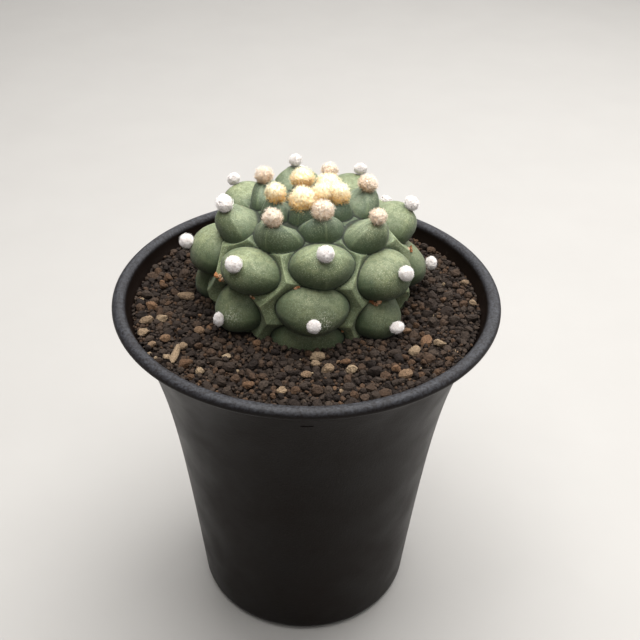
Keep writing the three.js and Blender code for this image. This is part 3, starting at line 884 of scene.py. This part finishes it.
def gritty(name):
    """Open, gritty crumbs with sharp pits, fully matte: the tone runs from crumb to crumb, with painted
    shade in the hollows and painted light on the edges."""
    stops, pit_mm = GRIT[name]
    material, tree, shader, fields = new_material(
        name, {"pits": (pit_mm, 5.0, 0.7)}, ("tone",), Roughness=0.95, Specular_IOR_Level=0.2)
    colour = add(tree, "ShaderNodeValToRGB", {"Fac": fields["tone"]}, stops=stops)
    # Painted shade and light: the colour is darker in the pits' hollows and paler on their edges.
    shade = product(tree, fields, ("pits", 0.35, 0.6, 0.45, 1.15, "LINEAR"))
    shaded = add(tree, "ShaderNodeVectorMath", {0: colour.outputs["Color"], 1: shade},
                 operation="MULTIPLY")
    wire(tree, shader, shaded.outputs["Vector"], [(fields["pits"], 1.0, 0.45)])
    return material


def soil_top(x, y):
    """Height of the packed soil under the loose granules."""
    spot = np.stack([x, y, np.zeros_like(x)], axis=-1)
    return SOIL_TOP - PACKED_DEPTH + 0.25 * ripple(spot, 9.0, 11) + 0.2 * ripple(spot, 2.4, 12)


def stone_places():
    """Tops of the coarse stones that the solid soil shows: rows of x, y, z and rise from 0 to 1.

    Ring k has SOIL_COLUMNS + k stones at even azimuths, on the lines from the plant's skin to the
    wall. A stone rises by draw(k, its number) ** 1.5, and by half of that in ring 2, which is the
    nearest to the plant that has stones.
    """
    rows = []
    for k in range(2, SOIL_RINGS):
        number = np.arange(SOIL_COLUMNS + k)
        azimuth = TURN * number / len(number)
        inner, _ = skin_points(np.full(len(number), SOIL_LINE_ARC), azimuth, offset=GAP)
        outer = on_circle(float(pot_radius(SOIL_TOP)) - STONE_INSET, azimuth, SOIL_TOP)
        spot = lerp(inner, outer, k / SOIL_RINGS)
        rise = min(1.0, (k - 1) / 2) * draw(k, number) ** 1.5
        spot[:, 2] = SOIL_TOP + SOIL_RELIEF * rise
        rows.append(np.column_stack([spot, rise]))
    return np.concatenate(rows)


class GranuleBed:
    """A height map of the soil's surface, on which granules settle one by one.

    Each granule tries several random places and takes the one where it comes to rest lowest; then the
    map rises to its upper side.
    """
    CELL = 0.25
    REACH = 51.0
    # How far from the map's edge a given place has to stay.
    MARGIN = 4.0
    # The height of what no granule may touch, the plant and the wall.
    BLOCKED = 1e3
    # How far above its given level a granule may lie and still be pressed down to it.
    SLACK = 0.9
    # How much of a granule's upper side the map takes up, so that the next one can nestle in.
    FIRMNESS = 0.8

    def __init__(self, seed):
        self.rng = np.random.default_rng(seed)
        self.axis = np.arange(-self.REACH, self.REACH + self.CELL / 2, self.CELL)
        x, y = np.meshgrid(self.axis, self.axis, indexing="ij")
        self.height = soil_top(x, y)
        around = np.linspace(0, TURN, 721)
        outline = np.zeros_like(around)
        for arc in np.linspace(SOIL_LINE_ARC - 3.0, SOIL_LINE_ARC, 5):
            skin, _ = skin_points(np.full_like(around, arc), around)
            low = skin[:, 2] < SOIL_TOP + 1.2
            reach = np.hypot(skin[:, 0] - PLANT_X, skin[:, 1] - PLANT_Y)
            outline = np.maximum(outline, np.where(low, reach, 0.0))
        angle = np.arctan2(x - PLANT_X, -(y - PLANT_Y)) % TURN
        plant = np.hypot(x - PLANT_X, y - PLANT_Y) < np.interp(angle, around, outline) + 0.1
        wall = np.hypot(x, y) > float(pot_radius(SOIL_TOP)) - STONE_INSET + GAP
        self.height[plant | wall] = self.BLOCKED
        self.free = np.argwhere(~(plant | wall))

    def footprint(self, radius, half_height):
        """The cells under a granule, from its middle, and how far it bulges over each of them."""
        steps = int(radius / self.CELL)
        offset = np.arange(-steps, steps + 1)
        di, dj = np.meshgrid(offset, offset, indexing="ij")
        inside = (di ** 2 + dj ** 2) * self.CELL ** 2 <= radius ** 2
        di, dj = di[inside], dj[inside]
        bulge = np.sqrt(1 - np.minimum((di ** 2 + dj ** 2) * (self.CELL / radius) ** 2, 1.0))
        return di, dj, half_height * bulge

    def settle(self, radius, half_height, tries=1, at=None, top=None):
        """Place one granule and return its centre, or None where there is no room.

        It may be given its place, and then also the level of its top, which it keeps unless another
        granule is in its way.
        """
        di, dj, bulge = self.footprint(radius, half_height)
        if at is None:
            spots = self.free[self.rng.integers(len(self.free), size=tries)]
        else:
            # Where the plant is in the way, the granule lies a little further out.
            spots = np.asarray([at]) * (1 + np.linspace(0, 0.12, 9)[:, None])
            edge = self.REACH - self.MARGIN
            spots = np.round((np.clip(spots, -edge, edge) + self.REACH) / self.CELL).astype(int)
        rest = (self.height[spots[:, :1] + di, spots[:, 1:] + dj] + bulge).max(axis=1)
        open_ground = rest < self.BLOCKED / 2
        best = int(np.argmin(rest)) if at is None else int(np.argmax(open_ground))
        if not open_ground[best]:
            return None
        if top is not None:
            if rest[best] > top - half_height + self.SLACK:
                return None
            rest[best] = top - half_height
        i, j = spots[best, 0] + di, spots[best, 1] + dj
        self.height[i, j] = np.maximum(self.height[i, j], rest[best] + self.FIRMNESS * bulge)
        return np.array([self.axis[spots[best, 0]], self.axis[spots[best, 1]], rest[best]])


def granule_shapes(centres, sizes, yaws, seed, rows, columns, facets):
    """Chips bounded by random flats: along each direction the radius is the least distance to a flat,
    d / cos(angle to its normal), no more than a rounded block's, then stretched, turned and placed."""
    rng = np.random.default_rng(seed)
    count = len(centres)
    directions = unit_ball(rows, columns)
    normals = unit(rng.normal(size=(count, facets, 3)))
    distance = rng.uniform(0.62, 0.98, size=(count, facets))
    cosine = np.einsum("vk,nfk->nvf", directions, normals)
    cut = np.where(cosine > 0.25, distance[:, None] / np.maximum(cosine, 0.25), 9.0).min(axis=2)
    radius = np.minimum(cut, 1.12) * rng.uniform(0.93, 1.05, size=cut.shape)
    points = directions * radius[..., None] * sizes[:, None]
    tilt = rng.normal(scale=0.28, size=count)
    y = points[..., 1] * np.cos(tilt)[:, None] - points[..., 2] * np.sin(tilt)[:, None]
    z = points[..., 1] * np.sin(tilt)[:, None] + points[..., 2] * np.cos(tilt)[:, None]
    x = points[..., 0]
    c, s = np.cos(yaws)[:, None], np.sin(yaws)[:, None]
    return centres[:, None] + np.stack([c * x - s * y, s * x + c * y, z], axis=-1)


# Paler bits that lie on the soil in front and on both sides: x, y, half length, half width, turn in
# degrees, and tone from 0, brown, over 0.5, tan, to 1, pale.
TAN_BITS = {
    "upright_stick": (-33.2, -25.6, 4.1, 1.0, 84, 0.7), "behind_stick": (-35.3, -26.8, 1.1, 0.9, 10, 0.8),
    "pitted_round": (-31.4, -22.1, 1.2, 1.1, 0, 0.6), "left_orange": (-36.6, -18.7, 1.4, 1.2, 30, 0.35),
    "left_round": (-42.5, -15.9, 1.5, 1.4, 0, 0.6), "left_wedge": (-42.2, -10.4, 2.0, 1.2, 20, 0.55),
    "left_pale": (-38.5, -9.5, 1.4, 1.2, 0, 0.75), "left_low": (-39.6, -21.5, 1.3, 1.1, 70, 0.45),
    "left_far": (-42.2, -3.7, 1.6, 1.4, 0, 0.3), "long_pale": (-32.8, 1.1, 2.8, 1.1, -12, 0.5),
    "left_inner": (-28.1, -15.0, 1.5, 1.1, 15, 0.4), "front_slab": (-30.4, -29.0, 2.3, 1.5, 40, 0.05),
    "front_chunk_a": (2.8, -25.6, 2.0, 1.5, 10, 0.75), "front_chunk_b": (2.3, -28.8, 1.2, 1.1, 0, 0.7),
    "front_chunk_c": (5.2, -30.2, 1.8, 1.7, 60, 0.55), "front_big": (14.0, -25.2, 2.7, 2.1, 15, 0.62),
    "front_tan": (11.5, -30.8, 1.6, 1.3, 20, 0.9), "front_red": (9.7, -28.1, 1.4, 0.9, 10, 0.1),
    "front_round": (0.0, -33.3, 1.3, 1.2, 0, 0.45), "front_low": (-5.7, -39.6, 1.5, 1.3, 0, 0.6),
    "front_brown": (-14.1, -37.7, 1.7, 1.1, 25, 0.15), "front_orange": (-12.7, -20.6, 1.1, 1.0, 0, 0.2),
    "right_a": (24.7, -32.2, 1.8, 1.5, 30, 0.4), "right_b": (22.4, -30.4, 1.2, 1.1, 0, 0.2),
    "right_tan": (27.7, -22.8, 1.7, 1.4, 40, 0.7), "right_orange": (26.2, -14.4, 1.3, 1.0, 0, 0.35),
    "right_long": (30.9, -17.9, 2.5, 1.6, 70, 0.25), "right_round": (34.5, -19.2, 1.7, 1.5, 0, 0.75),
    "right_far_a": (44.6, 9.4, 1.2, 1.0, 0, 0.5), "right_far_b": (45.6, -0.9, 1.1, 1.0, 0, 0.6),
}


# How much of a granule's radius it keeps clear of others.
FOOTPRINT = 0.86
# Stones that rise less than this are left to the random granules, and the others stand this far
# above the solid's.
LEAST_RISE = 0.18
STONE_LIFT = 0.15
# Loose granules: share of their number, least and greatest size as shares of the largest, and tries.
LOOSE = {"coarse": (0.3, 0.28, 0.62, 40), "fine": (0.7, 0.15, 0.30, 16)}
TAN_SHARE = 0.02


def settle_everything(settings):
    """Place the tan bits and the coarse stones, then settle the loose granules among them.

    A row of a lot is a granule's centre, its three half sizes, its turn and its tone.
    """
    bed = GranuleBed(settings.seed)
    rng = np.random.default_rng(settings.seed + 1)
    largest = settings.largest_granule / MM
    lots = {"coarse": [], "fine": [], "tan": []}
    for x, y, length, width, turn, tone in TAN_BITS.values():
        height = 0.8 * width
        radius = 0.8 * math.sqrt(length * width)
        centre = bed.settle(radius, height, at=(x, y), top=SOIL_TOP + SOIL_RELIEF)
        if centre is not None:
            lots["tan"].append((*centre, length, width, height, math.radians(turn), tone))
    stones = stone_places()
    stones = stones[np.argsort(-stones[:, 3])]
    for x, y, top, rise in stones[stones[:, 3] >= LEAST_RISE]:
        radius = largest * (0.55 + 0.45 * rise) * rng.uniform(0.8, 1.05)
        sizes = radius * np.array([1.0, rng.uniform(0.75, 1.0), rng.uniform(0.65, 0.9)])
        centre = bed.settle(FOOTPRINT * radius, sizes[2], at=(x, y), top=top + STONE_LIFT)
        if centre is not None:
            lots["coarse"].append((*centre, *sizes, rng.uniform(0, TURN), rng.random()))
    for lot, (share, least, greatest, tries) in LOOSE.items():
        low, high = least * largest, greatest * largest
        for _ in range(int(share * settings.granule_count)):
            radius = low + (high - low) * rng.random() ** 1.6
            sizes = radius * np.array([1.0, rng.uniform(0.72, 1.0), rng.uniform(0.62, 0.85)])
            tan = rng.random() < TAN_SHARE
            centre = bed.settle(FOOTPRINT * radius, sizes[2], tries)
            if centre is not None:
                row = (*centre, *sizes, rng.uniform(0, TURN), rng.random())
                lots["tan" if tan else lot].append(row)
    return {lot: np.array(rows) for lot, rows in lots.items()}


# ---- Stage -------------------------------------------------------------------------------------

def aimed(name, data, place, target, roll=0.0):
    """A camera or a light at a place, turned to its target, with its x axis level but for the roll.

    Place and target are in metres.
    """
    back = unit(place - target)
    level = unit(np.cross([0.0, 0.0, 1.0], back))
    up = np.cross(back, level)
    axes = np.eye(4)
    axes[:3, 0] = math.cos(roll) * level + math.sin(roll) * up
    axes[:3, 1] = math.cos(roll) * up - math.sin(roll) * level
    axes[:3, 2], axes[:3, 3] = back, place
    made = bpy.data.objects.new(name, data)
    made.matrix_world = Matrix(axes.tolist())
    bpy.context.scene.collection.objects.link(made)
    return made


# ---- Settings ----------------------------------------------------------------------------------

def length_setting(name, description, default_mm):
    """A property that holds a length, given in millimetres and kept in metres."""
    return bpy.props.FloatProperty(name=name, description=description, default=default_mm * MM,
                                   min=0.0, unit="LENGTH", subtype="DISTANCE", precision=5)


def colour_setting(name, description, hex_code):
    """A property that holds a colour, given as an sRGB hex code and kept linear."""
    return bpy.props.FloatVectorProperty(name=name, description=description, default=linear(hex_code),
                                         size=4, min=0.0, max=1.0, subtype="COLOR")


class CACTUS_PG_pot(bpy.types.PropertyGroup):
    rim_radius: length_setting("Rim radius", "Outer radius of the rim bead", POT_HIGH.x / MM)
    wall: length_setting("Wall", "Thickness of the moulded wall", WALL_THICKNESS)
    parting_height: length_setting(
        "Parting line", "How far the mould's parting line below the rim stands out", 0.12)
    colour: colour_setting("Plastic", "Colour of the moulded plastic", "#0b0807")


class CACTUS_PG_soil(bpy.types.PropertyGroup):
    largest_granule: length_setting("Largest granule", "Half length of the largest granule", 1.95)
    granule_count: bpy.props.IntProperty(
        name="Granules", description="How many loose granules lie among the stones", default=3600, min=0)
    seed: bpy.props.IntProperty(
        name="Seed", description="Seed of the granules' random places and shapes", default=8, min=0)


class CACTUS_PG_plant(bpy.types.PropertyGroup):
    light_colour: colour_setting("Lit skin", "Colour of the stretched, older skin", "#757a57")
    deep_colour: colour_setting("Deep skin", "Colour of the deeper green skin", "#50573f")


class CACTUS_PG_wool(bpy.types.PropertyGroup):
    hairs_per_tuft: bpy.props.IntProperty(
        name="Hairs", description="Hairs in each tuft of the crown", default=1300, min=0)
    hair_thickness: length_setting("Hair thickness", "Radius of a hair near its root", 0.06)
    white_colour: colour_setting("White wool", "Tips of the old tufts", "#fffaf7")
    beige_colour: colour_setting("Beige wool", "Tips of the half-grown tufts", "#f8ead8")
    gold_colour: colour_setting("Gold wool", "Tips of the crown's tufts", "#fff5d2")


class CACTUS_PG_stage(bpy.types.PropertyGroup):
    floor_colour: colour_setting("Floor", "Colour of the plain floor", "#a5a29e")
    sky_strength: bpy.props.FloatProperty(
        name="Sky", description="Strength of the soft light from all round", default=0.05, min=0.0)
    key_power: bpy.props.FloatProperty(
        name="Key light", description="Power of the large soft light above the pot, in watts",
        default=9.5, min=0.0, unit="POWER")


# ---- Operators ---------------------------------------------------------------------------------

class CACTUS_OT_pot(bpy.types.Operator):
    """Build the moulded pot with its rim bead, foot ring, drain holes and mould marks"""
    bl_idname = "cactus.pot"
    bl_label = "Pot"

    COLUMNS = 192
    # The dash under the rim and the mark on its right: azimuth in degrees, level, half length, half
    # height and rise.
    MARKS = ((0.4, 95.25, 1.7, 0.35, 0.22), (62.0, 101.0, 1.3, 0.5, 0.5))
    MARK_MESH = (7, 16)

    def execute(self, context):
        settings = context.scene.cactus_pot
        profile = pot_profile(settings.rim_radius / MM, settings.wall / MM, settings.parting_height / MM)
        azimuth = np.linspace(0, TURN, self.COLUMNS + 1)[:-1]
        rings = on_circle(profile[:, :1], azimuth, profile[:, 1:])
        points = loft_points((0, 0, FLOOR_UNDERSIDE), rings, (0, 0, FLOOR_TOP))
        plastic = polypropylene(settings.colour)
        pot = make_piece("pot_shell", [points], len(rings), self.COLUMNS, "pot_plastic", plastic, ("pot",))
        cut_away(pot, pot_cutters())
        marks = [self.mark(*mark) for mark in self.MARKS]
        make_piece("mould_marks", marks, *self.MARK_MESH, "pot_plastic", plastic)
        return {"FINISHED"}

    @classmethod
    def mark(cls, azimuth, level, half_length, half_height, rise):
        """A flat lens, half sunk in the outer wall: an ellipsoid of these half sizes."""
        points = unit_ball(*cls.MARK_MESH) * (half_height, half_length, rise)
        centre = on_circle(float(pot_radius(level)), math.radians(azimuth), level)
        out = on_circle(1.0, math.radians(azimuth), 0.0)
        side = np.array([-out[1], out[0], 0.0])
        return centre + points @ np.stack([np.array([0.0, 0.0, 1.0]), side, out])


class CACTUS_OT_gravel(bpy.types.Operator):
    """Give the drainage gravel in the pot's foot its stone"""
    bl_idname = "cactus.gravel"
    bl_label = "Drainage gravel"

    def execute(self, context):
        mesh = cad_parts["drainage_gravel"].data
        mesh.materials.clear()
        mesh.materials.append(drainage_stone())
        return {"FINISHED"}


class CACTUS_OT_soil(bpy.types.Operator):
    """Build the packed soil round the root, the loose granules and the tan bits on it"""
    bl_idname = "cactus.soil"
    bl_label = "Soil"

    COLUMNS = 240
    WALL_LEVELS = (94.0, 86.0, 76.0, 60.0, 40.0, SOIL_FOOT)
    UNDER_RADII = (30.0, 15.0)
    # Each lot: rows and columns of a granule's mesh, flats that bound it, seed and slot.
    LOTS = {"coarse": (5, 8, 9, 37, "soil_granules"), "fine": (3, 6, 9, 35, "soil_granules"),
            "tan": (7, 12, 7, 34, "tan_granules")}

    def execute(self, context):
        settings = context.scene.cactus_soil
        clay = gritty("crushed_dark_clay")
        self.bed(clay)
        stones = {"soil_granules": clay, "tan_granules": gritty("pale_pumice_chips")}
        for lot, rows in settle_everything(settings).items():
            *mesh, facets, seed, slot = self.LOTS[lot]
            centres, sizes, yaws, tones = rows[:, :3], rows[:, 3:6], rows[:, 6], rows[:, 7]
            points = granule_shapes(centres, sizes, yaws, seed, *mesh, facets)
            make_piece(f"granules_{lot}", points, *mesh, slot, stones[slot], ("soil",),
                       shade_smooth=False, tone=np.repeat(tones, points.shape[1]))
        return {"FINISHED"}

    @classmethod
    def bed(cls, clay):
        """The packed soil: a loft up the root's hole, across the top, down the wall and under."""
        azimuth = np.linspace(0, TURN, cls.COLUMNS + 1)[:-1]
        hole = root_rings(cls.COLUMNS, 0.2)[::-1]
        # It starts a little inside the plant, so that no gap shows round it.
        inner, _ = skin_points(np.full(cls.COLUMNS, SOIL_LINE_ARC + 1.5), azimuth, offset=-1.2)
        outer = on_circle(float(pot_radius(SOIL_TOP - 2)) - SOIL_INSET, azimuth, SOIL_TOP)
        top = lerp(inner, outer, np.linspace(0, 1, 40)[:, None, None])
        top[..., 2] = soil_top(top[..., 0], top[..., 1])
        wall = [on_circle(float(pot_radius(z)) - SOIL_INSET, azimuth, z) for z in cls.WALL_LEVELS]
        under = [on_circle(r, azimuth, SOIL_FOOT) for r in cls.UNDER_RADII]
        rings = np.concatenate([hole, top, wall, under])
        points = loft_points((PLANT_X, PLANT_Y, ROOT_TIP - 0.2), rings, (0, 0, SOIL_FOOT))
        # The packed soil is real, and takes the darkest tone of the clay as painted shade in the gaps
        # between the granules.
        make_piece("soil_bed", [points], len(rings), cls.COLUMNS, "soil_granules", clay, ("soil",),
                   tone=np.full(len(points), 0.1))


class CACTUS_OT_skin(bpy.types.Operator):
    """Grow the plant's body: the skin with its spiral of tubercles, down to the tip of the root"""
    bl_idname = "cactus.skin"
    bl_label = "Plant skin"

    COLUMNS = 640
    ROWS = 139
    # The tubercles with rubbed patches, and the patches' radius.
    SCUFFED = (21, 24, 17, 20, 22, 25)
    SCUFF_RADIUS = 2.6

    def execute(self, context):
        azimuth = np.linspace(0, TURN, self.COLUMNS + 1)[:-1]
        arcs = np.append(np.linspace(0, SOIL_LINE_ARC + 1.0, self.ROWS + 1)[1:],
                         SOIL_LINE_ARC + np.array([3.0, 6.0]))
        skin, fields = skin_points(arcs[:, None], azimuth[None])
        apex, _ = skin_points(np.zeros(1), np.zeros(1))
        rings = np.concatenate([skin, root_rings(self.COLUMNS, 0.0)])
        points = loft_points(apex, rings, (PLANT_X, PLANT_Y, ROOT_TIP))
        tones = np.random.default_rng(3).random(len(SPIRAL["index"]))
        tones[FRONT_TUBERCLE - YOUNGEST] = 1.0
        fields["tone"] = tones[fields.pop("owner")]
        fields["age"] = np.broadcast_to(arcs[:, None] / SOIL_LINE_ARC, skin.shape[:2])
        fields["mark"] = self.scuffs(skin)
        hidden = np.zeros(self.COLUMNS * len(ROOT_LEVELS) + 1)
        layers = {key: np.concatenate([[0.0], np.ravel(values), hidden])
                  for key, values in fields.items()}
        make_piece("cactus_skin", [points], len(rings), self.COLUMNS, "cactus_skin",
                   cactus_epidermis(context.scene.cactus_plant), ("cactus",), **layers)
        return {"FINISHED"}

    @classmethod
    def scuffs(cls, skin):
        """Rubbed patches beside the tips of old tubercles: exp(-(distance / radius) ** 2) of each."""
        total = np.zeros(skin.shape[:2])
        rng = np.random.default_rng(5)
        for index in cls.SCUFFED:
            centre, _, sideways, down = tuft_frame(index - YOUNGEST)
            spot = centre + sideways * rng.uniform(2.0, 3.4) + down * rng.uniform(-2.5, 0.5)
            total += np.exp(-(np.linalg.norm(skin - spot, axis=-1) / cls.SCUFF_RADIUS) ** 2)
        return np.minimum(total, 1.0)


class CACTUS_OT_wool(bpy.types.Operator):
    """Grow a tuft of wool on each tubercle: white when old, beige when half grown, gold in the crown"""
    bl_idname = "cactus.wool"
    bl_label = "Wool tufts"

    GOLD = (-2, -1, 0, 1, 2, 3)
    BEIGE = (4, 5, 6, 7, 8, 10)
    # Each kind: its slot, its roots' colour, the levels where its tone starts to turn and is its tips',
    # and its share of hairs, their bend, fuzz and curl, and how high a tuft stands.
    KINDS = {
        "gold": ("cream_wool", "#eeb84e", (0.36, 0.84), (1.0, 0.22, 0.34, 0.18, 0.8)),
        "beige": ("cream_wool", "#cda676", (0.28, 0.88), (0.85, 0.4, 0.32, 0.45, WOOL_RISE)),
        "white": ("white_wool", "#dbd0c8", (0.28, 0.88), (0.54, 0.9, 0.2, 0.8, WOOL_RISE)),
    }

    def execute(self, context):
        settings = context.scene.cactus_wool
        young = self.GOLD + self.BEIGE
        old = [index for index in range(YOUNGEST, LAST_WITH_WOOL + 1) if index not in young]
        chosen = {"gold": self.GOLD, "beige": self.BEIGE, "white": old}
        for kind, (slot, root_colour, span, look) in self.KINDS.items():
            tip_colour = getattr(settings, f"{kind}_colour")
            wool = plant_wool(f"wool_{kind}_hair", root_colour, tip_colour, span)
            tufts = tuft_list(settings, chosen[kind], *look)
            for part, mesh, grow in (("cores", CORE_MESH, wool_cores), ("hairs", HAIR_MESH, wool_hairs)):
                points, levels = grow(tufts)
                make_piece(f"wool_{kind}_{part}", points, *mesh, slot, wool, ("cactus",), level=levels)
        return {"FINISHED"}


class CACTUS_OT_scars(bpy.types.Operator):
    """Add the dried scars, crumbs of old flower stalks in the axils above the lower tubercles"""
    bl_idname = "cactus.scars"
    bl_label = "Dried scars"

    # Those in front: azimuth in degrees, arc from the apex and size in mm.
    PLACES = ((305.0, 31.8, 1.25), (38.5, 34.5, 1.3), (354.0, 28.1, 0.85), (328.5, 32.7, 0.5),
              (85.5, 30.8, 0.9), (19.5, 41.6, 0.5))
    # Those behind: the tubercle below each and its size.
    BEHIND = ((20, 0.8), (22, 0.7), (25, 1.2), (27, 1.0), (28, 0.6))
    CRUMBS_EACH = 5
    CRUMB_MESH = (7, 12)

    def execute(self, context):
        rng = np.random.default_rng(17)
        behind = [(*self.axil(index - YOUNGEST), size) for index, size in self.BEHIND]
        crumbs = [self.crumb(*place, rng) for place in (*self.PLACES, *behind)
                  for _ in range(self.CRUMBS_EACH)]
        tones = np.repeat(rng.random(len(crumbs)), len(crumbs[0]))
        make_piece("dried_scars", crumbs, *self.CRUMB_MESH, "dried_scar", gritty("dried_scar_tissue"),
                   ("cactus",), shade_smooth=False, tone=tones)
        return {"FINISHED"}

    @staticmethod
    def axil(k):
        """Azimuth in degrees and arc of the lowest skin just above a tubercle."""
        arc = SPIRAL["arc"][k] - np.linspace(3.5, 7.5, 17)[:, None]
        azimuth = SPIRAL["azimuth"][k] + np.radians(np.linspace(-7, 7, 15))[None]
        height, _ = relief(core_frame(arc, azimuth)["point"], arc + 0.0 * azimuth)
        row, column = np.unravel_index(np.argmin(height), height.shape)
        return math.degrees(azimuth[0, column]), float(arc[row, 0])

    @classmethod
    def crumb(cls, azimuth, arc, size, rng):
        """One crinkled crumb of a scar, near its middle: an ellipsoid with a rippled radius."""
        arc = np.array([arc + size * rng.normal(scale=0.3)])
        azimuth = np.radians([azimuth + 2.0 * size * rng.normal(scale=0.55)])
        spot, _ = skin_points(arc, azimuth)
        core = core_frame(arc, azimuth)
        points = unit_ball(*cls.CRUMB_MESH)
        points = points * (1 + 0.35 * ripple(points, 0.9, int(rng.integers(1000))))[:, None]
        points = points * size * (rng.uniform(0.45, 0.75), rng.uniform(0.25, 0.45), rng.uniform(0.3, 0.5))
        turn = rng.uniform(0, TURN)
        across = core["sideways"][0] * math.cos(turn) + core["down"][0] * math.sin(turn)
        axes = np.stack([across, np.cross(core["normal"][0], across), core["normal"][0]])
        return spot[0] + core["normal"][0] * 0.25 * size + points @ axes


class CACTUS_OT_stage(bpy.types.Operator):
    """Set up the plain pale floor, the soft light and the camera"""
    bl_idname = "cactus.stage"
    bl_label = "Stage"

    # The camera stands in front of the pot, above the rim, and looks down at the plant. It was fitted
    # to the pot's outline in the photograph: its place, what it looks at, its roll and its lens.
    CAMERA_PLACE = (0.0, -227.8, 253.3)
    CAMERA_TARGET = (3.54, -9.14, 100.0)
    CAMERA_ROLL = math.radians(1.14)
    LENS_MM = 56.25
    SENSOR_MM = 36.0
    # Square soft lights: place and width in metres, and share of the key light's power.
    LIGHTS = {
        "key above": ((0.0, 0.05, 0.70), 0.6, 1.0),
        "right behind": ((0.45, 0.35, 0.50), 0.5, 0.34),
        "front": ((0.0, -0.5, 0.6), 0.5, 0.15),
        "right": ((0.6, -0.1, 0.35), 0.5, 0.08),
        "behind": ((0.0, 0.75, 0.60), 0.8, 0.42),
    }
    LIGHTS_TARGET = (0.0, 0.0, 0.10)
    FLOOR_HALF_WIDTH = 3.0

    def execute(self, context):
        settings = context.scene.cactus_stage
        self.floor(settings)
        self.camera(context.scene)
        self.lights(context.scene, settings)
        context.scene.view_settings.view_transform = "Standard"
        return {"FINISHED"}

    def floor(self, settings):
        """A wide square sheet of matte board."""
        half = self.FLOOR_HALF_WIDTH
        mesh = bpy.data.meshes.new("stage_floor")
        mesh.from_pydata([(-half, -half, 0), (half, -half, 0), (half, half, 0), (-half, half, 0)], [],
                         [(0, 1, 2, 3)])
        board = bpy.data.objects.new("stage_floor", mesh)
        bpy.context.scene.collection.objects.link(board)
        material, tree, shader, fields = new_material(
            "matte_pale_board", {"flecks": (40.0, 3.0, 0.55)}, Roughness=0.7, Specular_IOR_Level=0.3)
        colour = coated(tree, fields, tuple(settings.floor_colour), [("#a09d99", "flecks")])
        tree.links.new(colour, shader.inputs["Base Color"])
        mesh.materials.append(material)

    def camera(self, scene):
        """The camera, whose place and target are turned to metres here."""
        data = bpy.data.cameras.new("camera")
        data.lens = self.LENS_MM
        data.sensor_width = self.SENSOR_MM
        data.clip_start = 0.01
        place, target = np.array(self.CAMERA_PLACE) * MM, np.array(self.CAMERA_TARGET) * MM
        scene.camera = aimed("camera", data, place, target, self.CAMERA_ROLL)

    def lights(self, scene, settings):
        """A faint pale sky and the soft lights, each turned towards the rim of the pot."""
        world = bpy.data.worlds.new("studio")
        world.use_nodes = True
        world.node_tree.nodes["Background"].inputs["Color"].default_value = linear("#f4f3f1")
        world.node_tree.nodes["Background"].inputs["Strength"].default_value = settings.sky_strength
        scene.world = world
        for name, (place, size, share) in self.LIGHTS.items():
            data = bpy.data.lights.new(name, "AREA")
            data.size = size
            data.energy = settings.key_power * share
            aimed(name, data, np.array(place), np.array(self.LIGHTS_TARGET))


# ---- Panel and registration --------------------------------------------------------------------

PIECES = (CACTUS_OT_pot, CACTUS_OT_gravel, CACTUS_OT_soil, CACTUS_OT_skin, CACTUS_OT_wool,
          CACTUS_OT_scars, CACTUS_OT_stage)
SETTINGS = {"cactus_pot": CACTUS_PG_pot, "cactus_soil": CACTUS_PG_soil, "cactus_plant": CACTUS_PG_plant,
            "cactus_wool": CACTUS_PG_wool, "cactus_stage": CACTUS_PG_stage}


class CACTUS_PT_pieces(bpy.types.Panel):
    """Lists the pieces with the sizes and colours that each is made from"""
    bl_idname = "CACTUS_PT_pieces"
    bl_label = "Potted round cactus"
    bl_space_type = "VIEW_3D"
    bl_region_type = "UI"
    bl_category = "Cactus"

    def draw(self, context):
        for operator in PIECES:
            self.layout.operator(operator.bl_idname)
        for name, group in SETTINGS.items():
            box = self.layout.box()
            for key in group.__annotations__:
                box.prop(getattr(context.scene, name), key)


def register():
    """Register the classes and give the scene its settings."""
    for group in (*SETTINGS.values(), *PIECES, CACTUS_PT_pieces):
        bpy.utils.register_class(group)
    for name, group in SETTINGS.items():
        setattr(bpy.types.Scene, name, bpy.props.PointerProperty(type=group))


def unregister():
    """Take back what register did."""
    for name in SETTINGS:
        delattr(bpy.types.Scene, name)
    for group in (CACTUS_PT_pieces, *PIECES[::-1], *SETTINGS.values()):
        bpy.utils.unregister_class(group)


def main():
    """Build everything, piece by piece."""
    register()
    bpy.ops.cactus.stage()
    bpy.ops.cactus.pot()
    bpy.ops.cactus.gravel()
    bpy.ops.cactus.soil()
    bpy.ops.cactus.skin()
    bpy.ops.cactus.wool()
    bpy.ops.cactus.scars()


if __name__ == "__main__":
    main()
